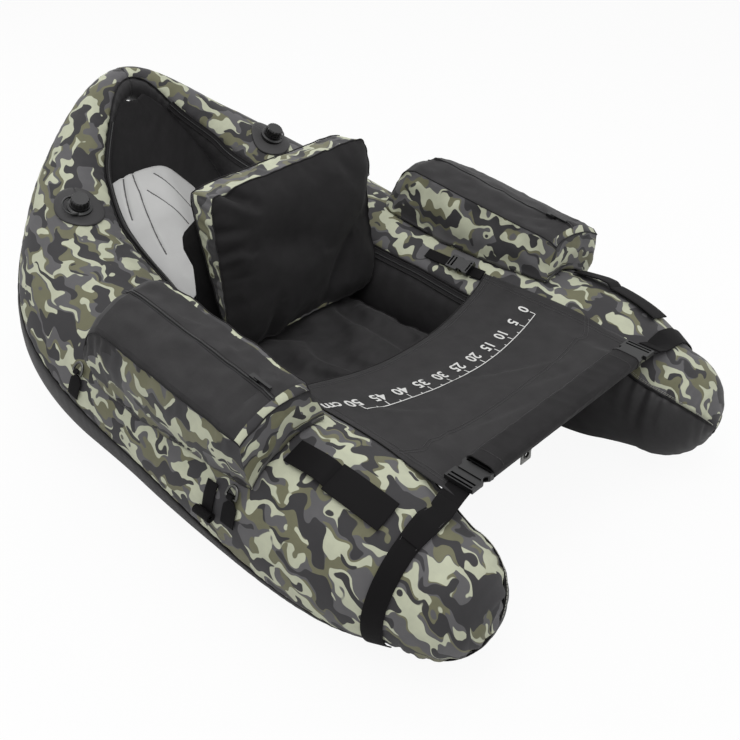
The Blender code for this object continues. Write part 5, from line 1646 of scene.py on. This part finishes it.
class FLOATTUBE_OT_pockets(bpy.types.Operator):
    """Side pockets: gathered camouflage boxing, black top with a zip along its middle, and a lid"""
    bl_idname = "float_tube.pockets"
    bl_label = "Side pockets"

    def execute(self, context):
        middle = (POCKET_TOP_X[0] + POCKET_TOP_X[1]) / 2
        half = (POCKET_TOP_X[1] - POCKET_TOP_X[0]) / 2
        zip_x, lid_x = ((x - middle) / half for x in LID_X)
        xs = steps(-1, 1, POCKET_SPACING[0], zip_x, lid_x)
        ys = steps(*POCKET_Y, POCKET_SPACING[1], *LID_Y)
        zs = steps(0, 1, POCKET_SPACING[2])
        across = (xs.index(zip_x), xs.index(lid_x))
        along = (ys.index(LID_Y[0]), ys.index(LID_Y[1]))
        top = len(zs) - 1

        for side, word in SIDES:
            def finish_of(axis, far, centre):
                x, y, z = centre
                if axis == 2:
                    # The camouflage comes over the top's front edge and, on the right pocket,
                    # over its inner edge.
                    inner = side < 0 and x < CAMO_INNER[0] and y < CAMO_INNER[1]
                    return 1 if y < CAMO_FRONT_Y or inner else 0
                hood = z > np.interp(y, *POCKET_HOOD)
                return 0 if y > 0 and hood and (axis == 1 or far) else 1

            # The pockets' black tops are the black pack cloth painted lighter: painted light where
            # they face up.
            shell, index = boxed("pocket_shell_" + word, xs, ys, zs,
                                 lambda x, y, z: mirror(pocket_point(x, y, z), side),
                                 ["painted_lit_black", "camo"], finish_of, side=side,
                                 spans=(half, 1, POCKET_DEPTH))
            foot = [n for key, n in index.items() if key[2] <= 1]
            mouth = [index[(i, k, top)] for i in across for k in range(along[0], along[1] + 1)]
            edge = perimeter(index, xs, ys, top)
            fill(shell, 1.6, 0.006, edge, foot + mouth)
            crumple(shell, 0.0052, (11, 8, 9), 30.0 + side)
            piping("pocket_piping_" + word, edge_path(shell, edge), 1.5 * MM, closed=True)
            self.zip_line(shell, index, across[0], along, top, word)
            lid = self.split_lid(shell, index, across, along, top, word)
            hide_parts("pocket_" + word)
            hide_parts("pocket_flap_" + word)
            for item in (shell, lid):
                thicken(item, 1.4 * MM)
            dress("pocket_slider_" + word, "plastic")
        return {"FINISHED"}

    @staticmethod
    def split_lid(shell, index, across, along, top, word):
        """Moves the part of the top inside the zip to a piece of its own."""
        inside = {index[(i, j, top)] for i in range(across[0], across[1] + 1)
                  for j in range(along[0], along[1] + 1)}
        lid_mesh = shell.data.copy()
        for mesh, is_lid in ((lid_mesh, True), (shell.data, False)):
            work = bmesh.new()
            work.from_mesh(mesh)
            gone = [f for f in work.faces
                    if all(v.index in inside for v in f.verts) != is_lid]
            bmesh.ops.delete(work, geom=gone, context="FACES")
            for edge in work.edges:
                edge.smooth = not edge.is_boundary
            work.to_mesh(mesh)
            work.free()
        lid = add_object("pocket_lid_cloth_" + word, lid_mesh, "pocket_lid_" + word)
        return lid

    @staticmethod
    def zip_line(shell, index, column, along, top, word):
        """Tape and coil of the zip, which run on to both ends of the black top."""
        vertices = shell.data.vertices
        reach = [k for k in range(along[0] - ZIP_BEYOND[0], along[1] + ZIP_BEYOND[1])
                 if (column, k, top) in index]
        for label, shift, radius, lift, finish in POCKET_ZIP:
            path = []
            for k in reach:
                before, here, after = (vertices[index[(column + n, k, top)]].co
                                       for n in (-1, 0, 1))
                path.append(here + (after - before).normalized() * shift
                            + Vector((0, 0, lift)))
            piping("pocket_zip_%s_%s" % (label, word), path, radius, finish)


# Valves, rings, handles and rod straps

# How far out on a valve's patch, as a share of its radius, and how high it is there.
PATCH_PROFILE = ((0.30, 0.0042), (0.46, 0.0044), (0.52, 0.0034), (0.62, 0.0036),
                 (0.86, 0.0034), (0.93, 0.0030), (0.985, 0.0022), (1.0, 0.0004))
PATCH_WOBBLE = 0.010
TETHER_DEGREES = (200, 350)
TETHER_REACH, TETHER_OUT = 0.025, 0.013
TETHER_LIFT, TETHER_BOW = 0.0045, 0.002
TETHER_RADIUS = 2.4 * MM
RING_ROUNDNESS = 0.8
ANCHOR_WRAP = (-75, 195)               # degrees of webbing round the ring's bar
ANCHOR_WRAP_RADIUS = 4.0 * MM
ANCHOR_WRAP_HALF = 7.0 * MM
ANCHOR_START = 0.16                    # of its length, from the ring's bar
ANCHOR_RISE, ANCHOR_THICK = 2.4 * MM, 2.0 * MM
ANCHOR_FLARE = (0.42, 0.2)             # share of its width at first, and more a row
ANCHOR_CROSS = ((3, 13), (13, 3))      # rows between which its cross is sewn
HANDLE_RISE = 1.8 * MM
HANDLE_TURNS = 2.6
HANDLE_CORE, HANDLE_MARGIN = 2.2 * MM, 3.6 * MM
ROD_PATCH_WIDTH, ROD_PATCH_RISE = 0.060, 2.8 * MM
ROD_STRAP_WIDTH, ROD_STRAP_RISE = 0.050, 2.2 * MM
ROD_STRAP_GAP = 1.2 * MM
ROD_LOOP = 0.007
COVER_ZIP_RISE = 0.8 * MM
# Bead, place across the tape as a share of its half width, radius, lift and finish.
COVER_ZIP = (("coil", 0.0, 1.8 * MM, 1.2 * MM, "plastic"),
             ("upper_pipe", 0.86, 1.7 * MM, 0.8 * MM, "black"),
             ("lower_pipe", -0.86, 1.7 * MM, 0.8 * MM, "black"))


class FLOATTUBE_OT_valves(bpy.types.Operator):
    """Welded patches, screw valves and the moulded tethers of their caps"""
    bl_idname = "float_tube.valves"
    bl_label = "Inflation valves"

    def execute(self, context):
        place = place_at(VALVE_Y)
        turned = hull_frame(place, VALVE_ANGLE, PATCH_RISE)
        for side, word in SIDES:
            rows = []
            for share, rise in PATCH_PROFILE:
                row = []
                for k in range(73):
                    wobble = 1 + PATCH_WOBBLE * math.sin(5 * math.radians(5 * k) + side)
                    out = circle(5 * k, PATCH_RADIUS * share * wobble)
                    row.append(mirror(near_skin(place, VALVE_ANGLE, out.x, out.y, rise), side))
                rows.append(row if side < 0 else row[::-1])
            patch = cloth_grid("valve_patch_disc_" + word, rows, "rubber",
                               thickness=0.8 * MM)
            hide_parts("valve_patch_" + word)
            # The cap's tether is moulded with a ring that sits round the valve's collar.
            path = []
            for k in range(25):
                arch = math.sin(math.pi * k / 24)
                path.append(mirror(turned @ circle(between(TETHER_DEGREES, k / 24),
                                                   TETHER_REACH + TETHER_OUT * arch,
                                                   TETHER_LIFT + TETHER_BOW * arch), side))
            piping("valve_tether_" + word, path, TETHER_RADIUS, "plastic", "black_acetal")
            dress("valve_" + word, "plastic")
            dress("valve_cap_" + word, "plastic")
        return {"FINISHED"}


class FLOATTUBE_OT_rings(bpy.types.Operator):
    """D-rings bent from wire, in the loops of their sewn anchors"""
    bl_idname = "float_tube.rings"
    bl_label = "D-rings"

    def execute(self, context):
        for side, word in SIDES:
            for name, y, angle in RINGS:
                place = place_at(y)
                turned = hull_frame(place, angle, RING_LIFT)
                path = []
                for k in range(29):
                    turn = math.pi * k / 28
                    path.append(mirror(turned @ Vector((
                        -RING_SPAN / 2 * math.cos(turn),
                        RING_DEPTH * math.sin(turn) ** RING_ROUNDNESS, 0)), side))
                ring = tubes("%s_wire_%s" % (name, word), [path], RING_WIRE, "nickel",
                             "nickel_plate", "%s_%s" % (name, word), True, 4)
                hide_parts("%s_%s" % (name, word))
                wrap, laid = self.anchor(place, angle, turned)
                anchor = band(on_side(wrap, side), "%s_anchor_web_%s" % (name, word),
                              thickness=ANCHOR_THICK)
                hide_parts("%s_anchor_%s" % (name, word))
                sewn = on_side(laid, side)
                cross = [[sewn[row][0] + sewn[row][1] * sign * 0.75 + sewn[row][2] * 1.3 * MM
                          for row, sign in zip(rows, (-1, 1))] for rows in ANCHOR_CROSS]
                stitches("%s_stitching_%s" % (name, word), cross)
        return {"FINISHED"}

    @staticmethod
    def anchor(place, angle, turned):
        """Webbing that wraps the ring's bar and is sewn flat below it: all its rows, and those
        that lie flat."""
        rows = []
        half = turned.to_3x3() @ Vector((ANCHOR_WRAP_HALF, 0, 0))
        for k in range(15):
            turn = math.radians(between(ANCHOR_WRAP, k / 14))
            out = Vector((0, math.cos(turn), math.sin(turn)))
            rows.append((turned @ (out * ANCHOR_WRAP_RADIUS), half, turned.to_3x3() @ out))
        drop = math.degrees(ANCHOR_LENGTH / section(place)[1])
        laid = strap_rows(stops_between((place, angle - drop * ANCHOR_START),
                                        (place, angle - drop), 14), ANCHOR_WIDTH, ANCHOR_RISE)
        flip = 1 if laid[0][1].dot(half) > 0 else -1
        for k, (centre, half, normal) in enumerate(laid):
            grow = min(ANCHOR_FLARE[0] + ANCHOR_FLARE[1] * k, 1.0)
            rows.append((centre, half * grow * flip, normal))
        return rows, laid


class FLOATTUBE_OT_handles(bpy.types.Operator):
    """Carry handles of webbing with a rolled grip"""
    bl_idname = "float_tube.handles"
    bl_label = "Carry handles"

    def execute(self, context):
        place = place_at(HANDLE_Y)
        radius, length = HANDLE_ROLL
        end_angle = HANDLE_ANGLE - math.degrees(HANDLE_DROP / section(place)[1])
        along = section(place)[4]
        end = skin(place, end_angle, radius + 1.0 * MM)
        normal = skin_normal(place, end_angle)
        tangent = along.cross(normal)
        rows = strap_rows(stops_between((place, HANDLE_ANGLE), (place, end_angle), 20),
                          HANDLE_WIDTH, HANDLE_RISE)
        spiral = []
        for k in range(73):
            turn = 2 * math.pi * HANDLE_TURNS * k / 72
            out = normal * math.cos(turn) + tangent * math.sin(turn)
            reach = HANDLE_CORE + (radius - HANDLE_MARGIN) * k / 72
            spiral.append((end + out * reach, along * (length / 2), out))
        for side, word in SIDES:
            body = "carry_handle_" + word
            web = band(on_side(rows, side), "handle_web_" + word, body=body)
            band(on_side(spiral, side), "handle_roll_" + word, thickness=1.8 * MM, body=body,
                 points_across=7)
            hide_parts(body)
        return {"FINISHED"}


class FLOATTUBE_OT_rod_straps(bpy.types.Operator):
    """Rod straps of hook-and-loop webbing on their sewn patches"""
    bl_idname = "float_tube.rod_straps"
    bl_label = "Rod straps"

    def execute(self, context):
        hinge, rear, front = ROD_Y
        laid = strap_rows(run_along(ROD_ANGLE, rear, front, 24), ROD_PATCH_WIDTH,
                          ROD_PATCH_RISE)
        looped = []
        stops = run_along(ROD_ANGLE, hinge, rear - ROD_STRAP_GAP, 24)
        for k, (centre, half, normal) in enumerate(strap_rows(stops, ROD_STRAP_WIDTH,
                                                              ROD_STRAP_RISE)):
            arch = min(1.0, 1.6 * k / 24) * min(1.0, 7.0 * (1 - k / 24))
            looped.append((centre + normal * ROD_LOOP * arch, half, normal))
        for side, word in SIDES:
            patch = band(on_side(laid, side), "rod_patch_web_" + word, thickness=3.0 * MM)
            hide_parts("rod_patch_" + word)
            stitches("rod_patch_stitching_" + word,
                     edge_lines(laid, side, THREAD_INSET, 1.7 * MM))
            strap = band(on_side(looped, side), "rod_strap_web_" + word, thickness=3.2 * MM,
                         body="rod_strap_" + word)
            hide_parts("rod_strap_" + word)
        return {"FINISHED"}


class FLOATTUBE_OT_zips(bpy.types.Operator):
    """Zips of the covers along the inner walls: tape, coil and a piped guard"""
    bl_idname = "float_tube.zips"
    bl_label = "Cover zips"

    def execute(self, context):
        stations = (place_at(ZIP_FRONT_Y), ZIP_LAST_STATION)
        places = [between(stations, k / 140) for k in range(141)]
        stops = [(place, seam_angle(INNER_SEAM_DEGREES, place) + ZIP_BELOW_SEAM)
                 for place in places]
        for side, word in SIDES:
            rows = on_side(strap_rows(stops, ZIP_WIDTH, COVER_ZIP_RISE), side)
            tape = band(rows, "cover_zip_tape_" + word, "black", thickness=1.2 * MM)
            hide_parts("bladder_zip_" + word)
            for label, shift, radius, lift, finish in COVER_ZIP:
                path = [c + h * shift + n * lift for c, h, n in rows]
                piping("cover_zip_%s_%s" % (label, word), path, radius, finish,
                       "black_webbing")
        return {"FINISHED"}


# Stage

# The camera is the one that the photograph was taken with: 740 pixels square.
PHOTO_SIZE = 740
FOCAL_PIXELS = 1022
PHOTO_CENTRE = (312.594, 325.78)
CAMERA_PLACE = (-1.375, -1.337, 1.439)
CAMERA_ANGLES = (-44.806, 32.422)      # azimuth and elevation
SENSOR_WIDTH = 36.0                    # mm
SKY_STRENGTH = 0.42
FLOOR_SIZE, FLOOR_DROP = 30, 0.8 * MM
LAMP_AIM = (0, 0, 0.2)
# Name, place, size and power in watts.
LAMPS = (("key", (-1.5, -0.9, 3.0), 2.4, 42), ("fill", (2.4, -1.6, 1.8), 2.2, 16),
         ("rim", (0.4, 2.6, 2.2), 2.2, 20), ("top", (0.1, 0.2, 3.2), 2.4, 17))
WHITE = (1, 1, 1, 1)


def blend_shaders(tree, share, first, second, output):
    """Shows the second shader by a share of the first, at an output node."""
    blend = add_node(tree, "ShaderNodeMixShader", {}, {}, {
        0: share, 1: first.outputs[0], 2: second.outputs[0]})
    tree.links.new(blend.outputs[0], tree.nodes[output].inputs["Surface"])


class FLOATTUBE_OT_stage(bpy.types.Operator):
    """Camera of the photograph, pale floor and soft studio light"""
    bl_idname = "float_tube.stage"
    bl_label = "Stage"

    def execute(self, context):
        scene = context.scene
        self.camera(scene)
        self.sky(scene)
        for name, place, size, power in LAMPS:
            light = bpy.data.lights.new(name, "AREA")
            light.shape = "DISK"
            light.size = size
            light.energy = power
            lamp = bpy.data.objects.new(name, light)
            lamp.location = place
            aim = Vector(LAMP_AIM) - Vector(place)
            lamp.rotation_euler = aim.to_track_quat("-Z", "Y").to_euler()
            scene.collection.objects.link(lamp)
        self.floor(context)
        scene.view_settings.view_transform = "Standard"
        return {"FINISHED"}

    @staticmethod
    def camera(scene):
        camera = bpy.data.cameras.new("camera")
        camera.sensor_width = SENSOR_WIDTH
        camera.lens = FOCAL_PIXELS / PHOTO_SIZE * SENSOR_WIDTH
        camera.shift_x = (PHOTO_SIZE / 2 - PHOTO_CENTRE[0]) / PHOTO_SIZE
        camera.shift_y = (PHOTO_CENTRE[1] - PHOTO_SIZE / 2) / PHOTO_SIZE
        camera.clip_start = 0.05
        holder = bpy.data.objects.new("camera", camera)
        azimuth, elevation = (math.radians(angle) for angle in CAMERA_ANGLES)
        back = Vector((math.sin(azimuth) * math.cos(elevation),
                       -math.cos(azimuth) * math.cos(elevation), math.sin(elevation)))
        right = Vector((math.cos(azimuth), math.sin(azimuth), 0))
        turned = Matrix((right, back.cross(right), back)).transposed().to_4x4()
        turned.translation = CAMERA_PLACE
        holder.matrix_world = turned
        scene.collection.objects.link(holder)
        scene.camera = holder

    @staticmethod
    def sky(scene):
        """Soft light from all round, plain white to the camera and in what mirrors it."""
        world = bpy.data.worlds.new("studio")
        world.use_nodes = True
        tree = world.node_tree
        background = tree.nodes["Background"]
        background.inputs["Color"].default_value = WHITE
        background.inputs["Strength"].default_value = SKY_STRENGTH
        white = add_node(tree, "ShaderNodeBackground", {}, {"Color": WHITE, "Strength": 1.0})
        rays = add_node(tree, "ShaderNodeLightPath")
        seen = rays.outputs["Is Camera Ray"]
        for ray in ("Is Glossy Ray", "Is Transmission Ray"):
            seen = add_node(tree, "ShaderNodeMath", {"operation": "MAXIMUM"}, {}, {
                0: seen, 1: rays.outputs[ray]}).outputs[0]
        blend_shaders(tree, seen, background, white, "World Output")
        scene.world = world

    @staticmethod
    def floor(context):
        """Pale floor: nearly white to the camera, and it keeps the shadow."""
        bpy.ops.mesh.primitive_plane_add(size=FLOOR_SIZE, location=(0, 0, -FLOOR_DROP))
        floor = context.active_object
        floor.name = "floor"
        material, tree, shader = new_material("pale_floor", linear("#F4F4F4"), 0.9)
        white = add_node(tree, "ShaderNodeEmission", {}, {"Color": WHITE})
        rays = add_node(tree, "ShaderNodeLightPath")
        share = add_node(tree, "ShaderNodeMath", {"operation": "MULTIPLY"}, {1: FLOOR_GLOW}, {
            0: rays.outputs["Is Camera Ray"]})
        blend_shaders(tree, share.outputs[0], shader, white, "Material Output")
        floor.data.materials.append(material)


class FLOATTUBE_PT_panel(bpy.types.Panel):
    """Lists the steps that dress the float tube"""
    bl_idname = "FLOATTUBE_PT_panel"
    bl_label = "Float tube"
    bl_space_type = "VIEW_3D"
    bl_region_type = "UI"
    bl_category = "Float tube"

    def draw(self, context):
        for group in (context.scene.float_tube_sizes, context.scene.float_tube_colours):
            for key in group.__annotations__:
                self.layout.prop(group, key)
        for step in STEPS:
            self.layout.operator(step.bl_idname)


STEPS = (FLOATTUBE_OT_stage, FLOATTUBE_OT_hull, FLOATTUBE_OT_zips, FLOATTUBE_OT_bay,
         FLOATTUBE_OT_seat, FLOATTUBE_OT_back_pad, FLOATTUBE_OT_apron, FLOATTUBE_OT_ruler,
         FLOATTUBE_OT_front_bar, FLOATTUBE_OT_straps, FLOATTUBE_OT_pockets,
         FLOATTUBE_OT_valves, FLOATTUBE_OT_rings, FLOATTUBE_OT_handles,
         FLOATTUBE_OT_rod_straps)
CLASSES = (FloatTubeColours, FloatTubeSizes) + STEPS + (FLOATTUBE_PT_panel,)


def register():
    for item in CLASSES:
        bpy.utils.register_class(item)
    bpy.types.Scene.float_tube_colours = bpy.props.PointerProperty(type=FloatTubeColours)
    bpy.types.Scene.float_tube_sizes = bpy.props.PointerProperty(type=FloatTubeSizes)


def unregister():
    del bpy.types.Scene.float_tube_sizes
    del bpy.types.Scene.float_tube_colours
    for item in reversed(CLASSES):
        bpy.utils.unregister_class(item)


def main():
    register()
    make_finishes()
    for step in STEPS:
        group, name = step.bl_idname.split(".")
        getattr(getattr(bpy.ops, group), name)()


if __name__ == "__main__":
    main()
